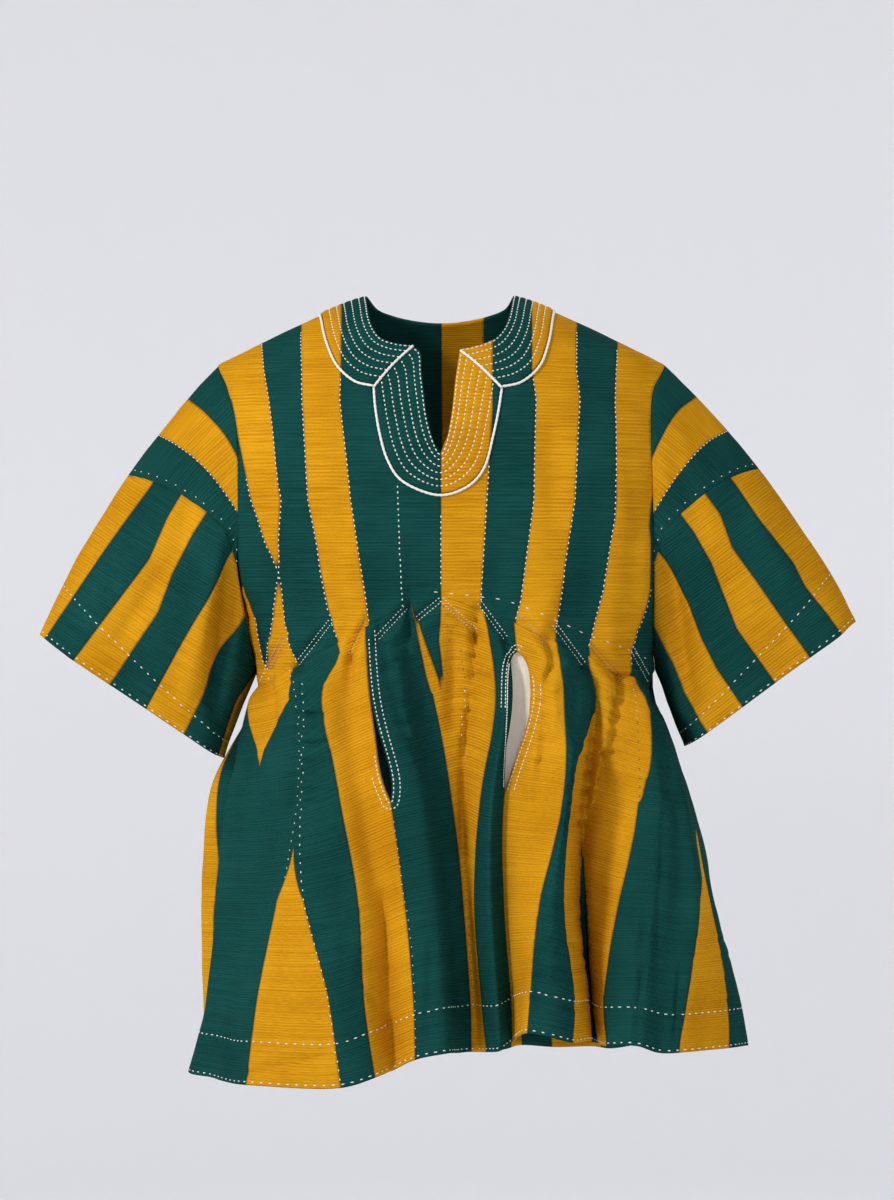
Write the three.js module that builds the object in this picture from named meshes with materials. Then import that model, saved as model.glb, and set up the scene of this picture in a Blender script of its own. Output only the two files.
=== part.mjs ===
// A fugu smock of hand-woven strips, worn and hanging: a loose bodice, wide short sleeves and a full gored skirt.
// Millimetres. +X is the viewer's right, -Y the front, +Z up; the origin is where the shoulders carry the neck.
import * as THREE from "three";

// The cloth and its seams
const WALL = 1.6;
const SEAM_GAP = 0.3;
const WAIST_GAP = 0.8;
const YOKE_WALL = 1.3;
const YOKE_LIFT = 1;
const BAG_WALL = 0.8;
const BAG_GAP = 0.7;
const BAG_ROOM = 7;
const CORD_RADIUS = 1.5;
const CORD_SIDES = 5;

// The skirt and the neck are set out as they are seen from straight ahead at this height and distance
const EYE = { x: 6, z: -300, away: 3400 };

// The bodice: shoulder line, chest and waist
const TOP_HALF = 222;
const NECK_SHARE = 74 / TOP_HALF;
const NECK_RISE = 8;
const SHOULDER_DROP = 107.7;
const SHOULDER_SOFTNESS = 0.12;
const RIDGE_Y = 5;
const CHEST_Z = -220;
const WAIST_MID_Z = -297;
const WAIST_SIDE_DROP = 90;
const WAIST_SOFTNESS = 0.1;

// Half widths and depths of the bodice's level sections, from the waist up
const BODY = [
  { z: -400, left: 179, right: 214, front: 115, back: 99 },
  { z: -385, left: 182, right: 214, front: 116, back: 100 },
  { z: -335, left: 190, right: 211, front: 119, back: 102 },
  { z: -300, left: 195, right: 210, front: 121, back: 104 },
  { z: -265, left: 199, right: 209, front: 122, back: 105 },
  { z: -200, left: 199, right: 208, front: 122, back: 106 },
  { z: -130, left: 201, right: 207, front: 122, back: 106 },
  { z: -90, left: 211, right: 211, front: 122, back: 106 },
  { z: -64, left: 222, right: 223, front: 122, back: 106 },
  { z: 20, left: 228, right: 228, front: 122, back: 106 },
];

// How deep the armhole is at each level, as a share of the section's depth
const ARMHOLE = [
  { z: -400, share: 0 },
  { z: -370, share: 0 },
  { z: -345, share: 0.22 },
  { z: -310, share: 0.38 },
  { z: -265, share: 0.52 },
  { z: -220, share: 0.6 },
  { z: 20, share: 0.6 },
];

// Soft folds of the bodice, hanging from the shoulders or standing over the gathers
const DRAPES = [
  { face: -1, share: -0.86, lean: 0.05, width: 0.07, out: 5, from: -110 },
  { face: -1, share: -0.66, lean: 0.03, width: 0.06, out: -4, from: -170 },
  { face: -1, share: -0.42, lean: 0.02, width: 0.07, out: 4, from: -190 },
  { face: -1, share: 0.26, lean: -0.03, width: 0.06, out: -3, from: -200 },
  { face: -1, share: 0.5, lean: -0.04, width: 0.07, out: 4, from: -180 },
  { face: -1, share: 0.72, lean: -0.02, width: 0.06, out: -4, from: -150 },
  { face: -1, share: 0.88, lean: -0.06, width: 0.07, out: 6, from: -100 },
  { face: 1, share: -0.84, lean: 0.06, width: 0.08, out: 5, from: -110 },
  { face: 1, share: -0.5, lean: 0.05, width: 0.07, out: -4, from: -160 },
  { face: 1, share: 0.1, lean: 0.02, width: 0.09, out: -4, from: -140 },
  { face: 1, share: 0.55, lean: -0.04, width: 0.07, out: 5, from: -180 },
  { face: 1, share: 0.82, lean: -0.05, width: 0.07, out: -4, from: -120 },
];

// The neck's edge, seen from the front: round at the sides, with a slit down to a point
const NECK_FRONT = [
  { x: -74, z: 2 },
  { x: -72, z: -12 },
  { x: -68, z: -30 },
  { x: -59, z: -44 },
  { x: -44, z: -50 },
  { x: -27, z: -52 },
  { x: -20.5, z: -57 },
  { x: -18, z: -84 },
  { x: -13.5, z: -121 },
  { x: -7, z: -146 },
  { x: 0, z: -157 },
  { x: 7, z: -140 },
  { x: 12, z: -112 },
  { x: 15.5, z: -76 },
  { x: 18.5, z: -56 },
  { x: 40, z: -51 },
  { x: 54, z: -44 },
  { x: 64, z: -30 },
  { x: 69, z: -12 },
  { x: 72, z: 2 },
];
const NECK_BACK = [
  { x: -74, z: 2 },
  { x: -66, z: -6 },
  { x: -50, z: -13 },
  { x: -26, z: -18 },
  { x: 0, z: -20 },
  { x: 26, z: -18 },
  { x: 50, z: -13 },
  { x: 66, z: -6 },
  { x: 72, z: 2 },
];
const OUTER_COLUMNS = [0.4, 0.47, 0.54, 0.62, 0.7, 0.78, 0.85, 0.91, 0.96, 1];
const LOWER_ROWS = [0, 0.1, 0.3, 0.5, 0.73, 1];
const UNDERARM_ROW = 1;
const UPPER_ROWS = 10;

// The quilted yoke: the neck's edge paired with the yoke's outer edge. The band runs from the left mitre over the
// shoulder, behind the neck and forward to the right mitre; the placket runs down round the slit
const BAND = [
  { face: -1, x: -28.5, z: -52, outX: -64.5, outZ: -90.5 },
  { face: -1, x: -44, z: -50, outX: -82, outZ: -86 },
  { face: -1, x: -59, z: -44, outX: -98, outZ: -72 },
  { face: -1, x: -68, z: -30, outX: -109, outZ: -50 },
  { face: -1, x: -72, z: -12, outX: -115, outZ: -28 },
  { face: 1, x: -74, z: 9, outX: -118, outZ: 0 },
  { face: 1, x: -66, z: -6, outX: -108, outZ: -34 },
  { face: 1, x: -50, z: -13, outX: -84, outZ: -54 },
  { face: 1, x: -26, z: -18, outX: -46, outZ: -66 },
  { face: 1, x: 0, z: -20, outX: 0, outZ: -69 },
  { face: 1, x: 26, z: -18, outX: 44, outZ: -66 },
  { face: 1, x: 50, z: -13, outX: 80, outZ: -54 },
  { face: 1, x: 66, z: -6, outX: 101, outZ: -34 },
  { face: 1, x: 72, z: 9, outX: 110, outZ: 0 },
  { face: -1, x: 69, z: -12, outX: 107, outZ: -28 },
  { face: -1, x: 64, z: -30, outX: 102, outZ: -52 },
  { face: -1, x: 54, z: -44, outX: 92, outZ: -74 },
  { face: -1, x: 40, z: -51, outX: 76, outZ: -87 },
  { face: -1, x: 20, z: -56, outX: 58, outZ: -91.5 },
];
const PLACKET = [
  { face: -1, x: -27, z: -53.5, outX: -63.5, outZ: -92.5 },
  { face: -1, x: -19.5, z: -60, outX: -62, outZ: -112 },
  { face: -1, x: -18, z: -84, outX: -58, outZ: -136 },
  { face: -1, x: -13.5, z: -121, outX: -50, outZ: -163 },
  { face: -1, x: -7, z: -146, outX: -35, outZ: -184 },
  { face: -1, x: 0, z: -158.5, outX: -3, outZ: -196.5 },
  { face: -1, x: 6, z: -144, outX: 24, outZ: -189 },
  { face: -1, x: 11, z: -116, outX: 41, outZ: -170 },
  { face: -1, x: 15, z: -80, outX: 50, outZ: -137 },
  { face: -1, x: 18, z: -60, outX: 55, outZ: -112 },
  { face: -1, x: 19, z: -58, outX: 57.5, outZ: -93.5 },
];
const YOKE_STEPS = 3;
const YOKE_ROWS = 4;
const CORD_OUTSIDE = 2.7;

// The sleeves, seen from the front: the cuff's top and low corners; the cap is the ring above the cross seam
const SLEEVES = [
  { name: "left", side: -1, topX: -401, topZ: -334, lowX: -216, lowZ: -458 },
  { name: "right", side: 1, topX: 414, topZ: -321, lowX: 243, lowZ: -446 },
];
const CUFF_HALF_DEPTH = 46;
const CUFF_SQUARENESS = 0.7;
const CUFF_Y = -4;
const SLEEVE_CROWN = 14;
const SLEEVE_BELLY = 6;
const CAP_TOP = 0.44;
const CAP_COLUMNS = 11;
const CAP_ROWS = 4;
const SLEEVE_ROWS = 8;
const CUFF_LAG = 1.3;
const SLEEVE_WAVES = [
  { turn: 0.14, width: 0.05, low: 4 },
  { turn: 0.27, width: 0.05, low: -5 },
  { turn: 0.4, width: 0.045, low: 6 },
  { turn: 0.62, width: 0.05, low: -5 },
  { turn: 0.8, width: 0.06, low: 5 },
];

// The skirt's lines, a row for each seam, fold crest and fold root, from the left side round to the right side and
// back: how far from the middle it is seen at the waist, at four levels and at the hem, how far its foot stands out
// towards the back, and how high the foot is seen
const LEVELS = { a: -400, b: -500, c: -600, d: -700 };
const SKIRT_FRONT = [
  { line: "side seam", waist: -183, a: -185, b: -190, c: -197, d: -212, hem: -228, out: 8, foot: -757 },
  { line: "side roll", waist: -181, a: -191, b: -215, c: -226, d: -235, hem: -253, out: -55, foot: -772 },
  { line: "side root", waist: -175, a: -180, b: -197, c: -206, d: -217, hem: -232, out: -88, foot: -777 },
  { line: "first ridge", waist: -164, a: -164, b: -173, c: -186, d: -200, hem: -213, out: -128, foot: -783 },
  { line: "gore left", waist: -151, a: -148, b: -146, c: -164, d: -184, hem: -195, out: -150, foot: -785 },
  { line: "gore right", waist: -141, a: -138, b: -140, c: -137, d: -112, hem: -100, out: -174, foot: -788 },
  { line: "gold strip", waist: -112, a: -118, b: -101, c: -83, d: -77, hem: -66, out: -168, foot: -778 },
  { line: "gold crease", waist: -90, a: -94, b: -77, c: -60, d: -53, hem: -48, out: -144, foot: -770 },
  { line: "left pocket", waist: -72, a: -70, b: -51, c: -37, d: -28, hem: -26, out: -166, foot: -760 },
  { line: "second ridge", waist: -54, a: -40, b: -21, c: -7, d: 2, hem: 5, out: -168, foot: -754 },
  { line: "middle wall", waist: -40, a: -25, b: -6, c: 8, d: 16, hem: 18, out: -124, foot: -753 },
  { line: "thin gold", waist: -28, a: -10, b: 8, c: 19, d: 27, hem: 28, out: -108, foot: -752 },
  { line: "stitched crease", waist: 0, a: 24, b: 21, c: 26, d: 33, hem: 36, out: -102, foot: -752 },
  { line: "green strip", waist: 44, a: 54, b: 39, c: 33, d: 40, hem: 45, out: -119, foot: -752 },
  { line: "third ridge", waist: 58, a: 65, b: 51, c: 49, d: 56, hem: 59, out: -148, foot: -751 },
  { line: "right pocket", waist: 74, a: 79, b: 63, c: 63, d: 70, hem: 71, out: -122, foot: -742 },
  { line: "lobe wall", waist: 92, a: 100, b: 84, c: 74, d: 77, hem: 76, out: -154, foot: -737 },
  { line: "lobe left", waist: 116, a: 124, b: 122, c: 100, d: 89, hem: 86, out: -186, foot: -733 },
  { line: "lobe crest", waist: 123, a: 132, b: 127, c: 112, d: 111, hem: 108, out: -192, foot: -737 },
  { line: "lobe right", waist: 130, a: 140, b: 131, c: 123, d: 134, hem: 132, out: -176, foot: -743 },
  { line: "lobe edge", waist: 136, a: 147, b: 136, c: 133, d: 146, hem: 148, out: -138, foot: -741 },
  { line: "deep root", waist: 143, a: 153, b: 145, c: 142, d: 150, hem: 153, out: -84, foot: -742 },
  { line: "deep wall", waist: 152, a: 161, b: 158, c: 152, d: 153, hem: 160, out: -112, foot: -745 },
  { line: "wide green", waist: 190, a: 195, b: 198, c: 176, d: 162, hem: 165, out: -144, foot: -746 },
  { line: "fourth ridge", waist: 200, a: 206, b: 220, c: 212, d: 198, hem: 196, out: -168, foot: -746 },
  { line: "green crease", waist: 206, a: 211, b: 235, c: 238, d: 226, hem: 219, out: -153, foot: -753 },
  { line: "right gold", waist: 209, a: 214, b: 244, c: 259, d: 247, hem: 239, out: -150, foot: -753 },
  { line: "right edge", waist: 211.5, a: 216, b: 248, c: 269, d: 287, hem: 288, out: -106, foot: -748 },
  { line: "right corner", waist: 213, a: 217, b: 250, c: 272, d: 298, hem: 307, out: -50, foot: -745 },
];
const SKIRT_BACK = [
  { line: "side seam", waist: 214, b: 232, hem: 268, out: 12, foot: -746 },
  { line: "corner", waist: 209, b: 250, hem: 284, out: 72, foot: -747 },
  { line: "crest 1", waist: 192, b: 236, hem: 261, out: 134, foot: -744 },
  { line: "root 1", waist: 174, b: 207, hem: 236, out: 110, foot: -746 },
  { line: "crest 2", waist: 152, b: 179, hem: 202, out: 158, foot: -744 },
  { line: "root 2", waist: 133, b: 153, hem: 172, out: 100, foot: -748 },
  { line: "crest 3", waist: 112, b: 132, hem: 150, out: 150, foot: -746 },
  { line: "root 3", waist: 90, b: 104, hem: 116, out: 128, foot: -747 },
  { line: "crest 4", waist: 64, b: 74, hem: 80, out: 168, foot: -745 },
  { line: "root 4", waist: 44, b: 50, hem: 58, out: 116, foot: -750 },
  { line: "crest 5", waist: 18, b: 20, hem: 22, out: 160, foot: -748 },
  { line: "root 5", waist: 0, b: -2, hem: -8, out: 124, foot: -750 },
  { line: "crest 6", waist: -30, b: -36, hem: -40, out: 172, foot: -747 },
  { line: "root 6", waist: -52, b: -61, hem: -66, out: 114, foot: -752 },
  { line: "crest 7", waist: -72, b: -84, hem: -92, out: 152, foot: -750 },
  { line: "root 7", waist: -98, b: -114, hem: -124, out: 120, foot: -751 },
  { line: "crest 8", waist: -122, b: -147, hem: -162, out: 160, foot: -749 },
  { line: "root 8", waist: -143, b: -173, hem: -188, out: 102, foot: -754 },
  { line: "crest 9", waist: -160, b: -204, hem: -217, out: 130, foot: -752 },
  { line: "corner left", waist: -175, b: -232, hem: -238, out: 82, foot: -755 },
];
const FRONT_LINES = SKIRT_FRONT.length;
const RING = [
  ...SKIRT_FRONT.map((row) => ({ ...row, face: -1 })),
  ...SKIRT_BACK.map((row) => ({ ...row, face: 1 })),
];
const SKIRT_ROWS = [0, 0.03, 0.07, 0.12, 0.18, 0.25, 0.32, 0.4, 0.49, 0.58, 0.67, 0.76, 0.85, 0.93, 1];
const FOLD_EASE = 0.5;

// The pocket slits: the line each one lies on, its top and foot as shares of the skirt, and how far it gapes. The
// right one gapes over a calico bag
const SLITS = [
  { line: 8, top: 0.07, foot: 0.4, gap: 9, widest: 0.8 },
  { line: 15, top: 0.07, foot: 0.4, gap: 22, widest: 0.3 },
];
const SLIT_HALF_COLUMN = 0.06;
const BAG_HALF = 19;
const BAG_COLUMNS = 7;
const BAG_ROWS = { first: 1, last: 9 };

const clamp = THREE.MathUtils.clamp;
const lerp = THREE.MathUtils.lerp;

function hermite(a, b, slopeA, slopeB, t) {
  const u = 1 - t;
  return a * u * u * (1 + 2 * t) + b * t * t * (3 - 2 * t) + slopeA * t * u * u - slopeB * t * t * u;
}

// A table's column read at any level, on a smooth curve through its rows
function read(rows, column, z) {
  const last = rows.length - 1;
  let k = 0;
  while (k < last - 1 && z > rows[k + 1].z) k++;
  const rise = (i) => {
    const low = rows[Math.max(i - 1, 0)];
    const high = rows[Math.min(i + 1, last)];
    return (high[column] - low[column]) / (high.z - low.z);
  };
  const span = rows[k + 1].z - rows[k].z;
  const t = clamp((z - rows[k].z) / span, 0, 1);
  return hermite(rows[k][column], rows[k + 1][column], rise(k) * span, rise(k + 1) * span, t);
}

const halfWidth = (z, x) => read(BODY, x < 0 ? "left" : "right", z);

// The shoulder line's height at a share of the half width
function ridgeZ(share) {
  const past = Math.abs(share) - NECK_SHARE;
  const soft = (past + Math.hypot(past, SHOULDER_SOFTNESS)) / 2;
  return NECK_RISE - SHOULDER_DROP * soft;
}

function waistZ(share) {
  const arch = Math.hypot(share, WAIST_SOFTNESS) - WAIST_SOFTNESS;
  return WAIST_MID_Z - (WAIST_SIDE_DROP * arch) / (Math.hypot(1, WAIST_SOFTNESS) - WAIST_SOFTNESS);
}

// How far the soft folds stand out at a share of the half width and a height
function drapeOut(share, z, face) {
  let out = 0;
  for (const fold of DRAPES) {
    if (fold.face !== face) continue;
    const fall = clamp((fold.from - z) / (fold.from + 330), 0, 1);
    const across = (share - fold.share - fold.lean * fall) / fold.width;
    out += fold.out * fall * fall * (3 - 2 * fall) * Math.exp(-across * across);
  }
  return out;
}

// The bodice's depth at a share of the half width and a height, before it closes over the shoulder
function depthAt(share, z, face) {
  const armhole = clamp(read(ARMHOLE, "share", z), 0, 1);
  const roll = Math.max(0, 1 - (1 - armhole * armhole) * Math.abs(share) ** 3);
  return read(BODY, face < 0 ? "front" : "back", z) * Math.sqrt(roll) + drapeOut(share, z, face) * (1 - share ** 6);
}

// The bodice's outside at a share of the half width and a height; face is -1 on the front and 1 on the back
function bodyAt(share, z, face) {
  const climb = clamp((z - CHEST_Z) / (ridgeZ(share) - CHEST_Z), 0, 1);
  const depth = depthAt(share, z, face) * Math.sqrt(1 - climb * climb);
  return new THREE.Vector3(share * halfWidth(z, share), RIDGE_Y + face * depth, z);
}

// The same above the chest by its turn: 0 at the chest in front, a right angle on the shoulder line, then the back
function overShoulder(share, turn) {
  const z = CHEST_Z + (ridgeZ(share) - CHEST_Z) * Math.sin(turn);
  const face = Math.cos(turn) >= 0 ? -1 : 1;
  const depth = depthAt(share, z, face) * Math.abs(Math.cos(turn));
  return new THREE.Vector3(share * halfWidth(z, share), RIDGE_Y + face * depth, z);
}

function turnOf(share, z, face) {
  const turn = Math.asin(clamp((z - CHEST_Z) / (ridgeZ(share) - CHEST_Z), -0.5, 1));
  return face < 0 ? turn : Math.PI - turn;
}

// A point lifted off the upper bodice along its normal
function offShoulder(share, turn, lift) {
  const step = 0.01;
  const across = overShoulder(share + step, turn).sub(overShoulder(share - step, turn));
  const over = overShoulder(share, turn + step).sub(overShoulder(share, turn - step));
  return overShoulder(share, turn).addScaledVector(across.cross(over).normalize(), lift);
}

const sharesOf = (rows) => rows.map((row) => ({ share: row.x / halfWidth(row.z, row.x), z: row.z }));
const NECK_SHARES = { [-1]: sharesOf(NECK_FRONT), [1]: sharesOf(NECK_BACK) };

// Where a column of the bodice ends: on the neck's edge, or on the shoulder line
function topZ(share, face) {
  const edge = NECK_SHARES[face];
  if (share <= edge[0].share || share >= edge[edge.length - 1].share) return ridgeZ(share);
  const k = edge.findIndex((row, i) => share <= edge[i + 1].share);
  const t = (share - edge[k].share) / (edge[k + 1].share - edge[k].share);
  return Math.min(lerp(edge[k].z, edge[k + 1].z, t), ridgeZ(share));
}

const BODICE_ROWS = LOWER_ROWS.length + UPPER_ROWS;

// A point of the bodice by its row, which may fall between two: straight to the chest, then by turning angle
function bodicePoint(share, row, face) {
  const chestRow = LOWER_ROWS.length - 1;
  if (row <= chestRow) {
    const k = Math.min(Math.floor(row), chestRow - 1);
    const t = lerp(LOWER_ROWS[k], LOWER_ROWS[k + 1], row - k);
    return bodyAt(share, lerp(waistZ(share), CHEST_Z, t), face);
  }
  const ridge = ridgeZ(share) - CHEST_Z;
  const end = Math.asin(clamp((topZ(share, face) - CHEST_Z) / ridge, 0, 1));
  const turn = (end * (row - chestRow)) / UPPER_ROWS;
  return bodyAt(share, CHEST_Z + ridge * Math.sin(turn), face);
}

const placeOf = (p) => [p.x, p.y, p.z].map((v) => Math.round(v * 50)).join();

// A grid of points on the cloth's outside, wound so that its faces look out; missing cells are cut through
function gridOf(columns, rows, at, { wrap = false, turned = false, missing = () => false } = {}) {
  const points = [];
  const slots = [];
  const places = new Map();
  for (let r = 0; r < rows; r++) {
    for (let c = 0; c < columns; c++) {
      const point = at(c, r);
      const place = placeOf(point);
      if (!places.has(place)) places.set(place, points.push(point) - 1);
      slots.push(places.get(place));
    }
  }
  const slot = (c, r) => slots[r * columns + (c % columns)];
  const cells = [];
  for (let r = 0; r + 1 < rows; r++) {
    for (let c = 0; c < (wrap ? columns : columns - 1); c++) {
      if (missing(c, r)) continue;
      const corners = [slot(c, r), slot(c + 1, r), slot(c + 1, r + 1), slot(c, r + 1)];
      const cell = corners.filter((one, i) => one !== corners[(i + 1) % 4]);
      if (cell.length > 2) cells.push(turned ? cell.reverse() : cell);
    }
  }
  return { points, cells, slot };
}

const after = (cell, i) => cell[(i + 1) % cell.length];
const before = (cell, i) => cell[(i + cell.length - 1) % cell.length];

// Normals that panels sewn together share, so that both sides of a seam are cut square to the same line
function sewnNormals(grids) {
  const sums = new Map();
  for (const { points, cells } of grids) {
    for (const cell of cells) {
      cell.forEach((one, i) => {
        const fore = points[after(cell, i)].clone().sub(points[one]).normalize();
        const aft = points[before(cell, i)].clone().sub(points[one]).normalize();
        const corner = fore.clone().cross(aft).normalize().multiplyScalar(fore.angleTo(aft));
        const place = placeOf(points[one]);
        sums.set(place, (sums.get(place) ?? new THREE.Vector3()).add(corner));
      });
    }
  }
  for (const grid of grids) {
    grid.normals = grid.points.map((p) => (sums.get(placeOf(p)) ?? new THREE.Vector3(0, 0, 1)).clone().normalize());
  }
}

// The edges that belong to one cell only, and so run round the panel and its openings
function borderOf({ cells }) {
  const edges = new Map();
  for (const cell of cells) cell.forEach((one, i) => edges.set(one + ">" + after(cell, i), [one, after(cell, i)]));
  return [...edges.values()].filter(([a, b]) => !edges.has(b + ">" + a));
}

// The outside points with the panel's border drawn in by a little more than half the seam's gap
function drawnIn({ points, cells }, border) {
  const inward = new Map(border.flat().map((i) => [i, new THREE.Vector3()]));
  for (const cell of cells) {
    const centre = cell.reduce((sum, one) => sum.add(points[one]), new THREE.Vector3()).divideScalar(cell.length);
    for (const one of cell) inward.get(one)?.add(centre.clone().sub(points[one]).normalize());
  }
  return points.map((p, i) => {
    const way = inward.get(i);
    return way ? p.clone().addScaledVector(way.normalize(), SEAM_GAP * 0.7) : p.clone();
  });
}

// Rims on both sides of a seam are split along the same diagonal, from the higher of the edge's two ends
const isHigher = (p, q) => p.z > q.z || (p.z === q.z && p.x > q.x);

// A closed shell: the outside, the inside a wall's thickness in, and a rim along every border
function shell(grid, wall) {
  const border = borderOf(grid);
  const outside = drawnIn(grid, border);
  const inside = outside.map((p, i) => p.clone().addScaledVector(grid.normals[i], -wall));
  const n = outside.length;
  const faces = [];
  const fill = (loop) => {
    for (let i = 1; i + 1 < loop.length; i++) faces.push(loop[0], loop[i], loop[i + 1]);
  };
  for (const cell of grid.cells) {
    fill(cell);
    fill(cell.map((one) => n + one).reverse());
  }
  for (const [a, b] of border) {
    if (isHigher(grid.points[a], grid.points[b])) fill([a, n + a, n + b, b]);
    else fill([b, a, n + a, n + b]);
  }
  const geometry = new THREE.BufferGeometry();
  const flat = [...outside, ...inside].flatMap((p) => [p.x, p.y, p.z]);
  geometry.setAttribute("position", new THREE.Float32BufferAttribute(flat, 3));
  geometry.setIndex(faces);
  geometry.computeVertexNormals();
  return geometry;
}

const cloth = (colour) => new THREE.MeshStandardMaterial({ color: colour, roughness: 0.92, metalness: 0 });
const GREEN = 0x0f4f45;
const CALICO = 0xe6e0d2;
const THREAD = 0xf2efe6;

const smock = new THREE.Group();
function add(name, geometry, colour) {
  const mesh = new THREE.Mesh(geometry, cloth(colour));
  mesh.name = name;
  smock.add(mesh);
}

function bodiceGrid(face) {
  const neck = NECK_SHARES[face].map((row) => row.share);
  const shares = [...OUTER_COLUMNS.map((s) => -s).reverse(), ...neck, ...OUTER_COLUMNS];
  const at = (c, r) => bodicePoint(shares[c], r, face);
  return gridOf(shares.length, BODICE_ROWS, at, { turned: face > 0 });
}

// The armhole's loop, counted in steps from the shoulder's tip down the front to the underarm and up the back
const ARM_STEPS = BODICE_ROWS - 1 - UNDERARM_ROW;
const ARM_RING = 2 * ARM_STEPS;
function armholePoint(side, step) {
  const front = step <= ARM_STEPS;
  return bodicePoint(side, BODICE_ROWS - 1 - (front ? step : ARM_RING - step), front ? -1 : 1);
}

// The cuff's points lag behind the armhole's, so that the lower edge of the sleeve hangs slack
function cuffAngle(side, step) {
  const top = armholePoint(side, 0).z;
  const share = (top - armholePoint(side, step).z) / (top - armholePoint(side, ARM_STEPS).z);
  const angle = Math.acos(1 - 2 * clamp(share, 0, 1) ** CUFF_LAG);
  return step <= ARM_STEPS ? angle : 2 * Math.PI - angle;
}

function cuffPoint(sleeve, angle) {
  const down = (1 - Math.cos(angle)) / 2;
  const depth = Math.sign(Math.sin(angle)) * Math.abs(Math.sin(angle)) ** CUFF_SQUARENESS;
  return new THREE.Vector3(
    lerp(sleeve.topX, sleeve.lowX, down),
    CUFF_Y - CUFF_HALF_DEPTH * depth,
    lerp(sleeve.topZ, sleeve.lowZ, down),
  );
}

// A point of the sleeve by its step round the arm and its share of the way from armhole to cuff
function sleevePoint(sleeve, step, along) {
  const angle = cuffAngle(sleeve.side, step);
  const point = armholePoint(sleeve.side, step).lerp(cuffPoint(sleeve, angle), along);
  const swell = 4 * along * (1 - along);
  const crown = SLEEVE_CROWN * swell * ((1 + Math.cos(angle)) / 2);
  const arm = cuffPoint(sleeve, 0).sub(armholePoint(sleeve.side, 0)).normalize();
  point.x += Math.abs(arm.z) * sleeve.side * crown;
  point.z += Math.abs(arm.x) * crown;
  let out = SLEEVE_BELLY * swell * Math.abs(Math.sin(angle));
  for (const { turn, width, low } of SLEEVE_WAVES) {
    out += low * Math.exp(-(((angle / (2 * Math.PI) - turn) / width) ** 2)) * along;
  }
  point.y += step <= ARM_STEPS ? -out : out;
  return point;
}

// Where the cap ends and the lower sleeve begins, as a share of the way to the cuff
function crossSeam(step) {
  const steps = Math.min(step, ARM_RING - step);
  return CAP_TOP * Math.max(0, 1 - (steps / CAP_COLUMNS) ** 2);
}

function capGrid(sleeve) {
  const at = (c, r) => {
    const step = (c - CAP_COLUMNS + ARM_RING) % ARM_RING;
    return sleevePoint(sleeve, step, (crossSeam(step) * r) / CAP_ROWS);
  };
  return gridOf(2 * CAP_COLUMNS + 1, CAP_ROWS + 1, at, { turned: sleeve.side < 0 });
}

function lowerSleeveGrid(sleeve) {
  const at = (step, r) => sleevePoint(sleeve, step, lerp(crossSeam(step), 1, r / SLEEVE_ROWS));
  return gridOf(ARM_RING, SLEEVE_ROWS + 1, at, { wrap: true, turned: sleeve.side < 0 });
}

const nearness = (y) => 1 + y / EYE.away;

// Where a skirt line leaves the waist, and the levels that it is seen to pass, from the foot up
const LINES = RING.map((row) => {
  const half = halfWidth(-385, row.waist);
  const first = bodyAt(clamp(row.waist / half, -1, 1), waistZ(row.waist / half), row.face);
  const share = clamp((EYE.x + (row.waist - EYE.x) * nearness(first.y)) / half, -1, 1);
  const top = bodyAt(share, waistZ(share), row.face);
  const near = nearness(top.y);
  const waist = { z: EYE.z + (top.z - EYE.z) / near, x: EYE.x + (top.x - EYE.x) / near };
  const levels = Object.keys(LEVELS).filter((key) => key in row);
  const seen = levels.map((key) => ({ z: LEVELS[key], x: row[key] })).reverse();
  return { row, top, waist, seen: [{ z: row.foot, x: row.hem }, ...seen, waist] };
});

// The skirt's lines at a share of the way down, as a ring of points with the distances between them
function skirtRing(down) {
  const points = LINES.map(({ row, top, waist, seen }) => {
    const y = lerp(top.y, row.out, down ** FOLD_EASE);
    const z = lerp(waist.z, row.foot, down);
    const x = read(seen, "x", z);
    const near = nearness(y);
    return new THREE.Vector3(EYE.x + (x - EYE.x) * near, y, EYE.z + (z - EYE.z) * near - WAIST_GAP);
  });
  const gaps = points.map((p, i) => Math.sqrt(p.distanceTo(points[(i + 1) % points.length])));
  return { points, gaps };
}

// A point of the skirt on a smooth curve through the ring's lines; at counts the lines from the left side seam
function skirtPoint({ points, gaps }, at) {
  const n = points.length;
  const k = Math.floor(at) % n;
  const slope = (i, axis) => {
    const before = (i + n - 1) % n;
    const after = (i + 1) % n;
    const fore = (points[after][axis] - points[i][axis]) / gaps[i];
    const aft = (points[i][axis] - points[before][axis]) / gaps[before];
    return (fore * gaps[before] + aft * gaps[i]) / (gaps[before] + gaps[i]);
  };
  const next = (k + 1) % n;
  const along = (axis) =>
    hermite(points[k][axis], points[next][axis], slope(k, axis) * gaps[k], slope(next, axis) * gaps[k], at - Math.floor(at));
  return new THREE.Vector3(along("x"), along("y"), along("z"));
}

// How far a slit stands open at a share of the way down the skirt
function slitGap(slit, down) {
  const t = clamp((down - slit.top) / (slit.foot - slit.top), 0, 1);
  return slit.gap * Math.sin(Math.PI * t ** (Math.log(0.5) / Math.log(slit.widest)));
}

const SKIRT_RINGS = SKIRT_ROWS.map(skirtRing);

function skirtColumns(from, to) {
  const columns = [];
  for (let k = from; k < to; k++) {
    const slit = SLITS.find((one) => one.line === k);
    if (slit) columns.push({ at: k - SLIT_HALF_COLUMN, slit, pull: -0.5 }, { at: k + SLIT_HALF_COLUMN, slit, pull: 0.5 });
    else columns.push({ at: k });
    columns.push({ at: k + 0.5 });
  }
  columns.push({ at: to });
  return columns;
}

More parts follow.
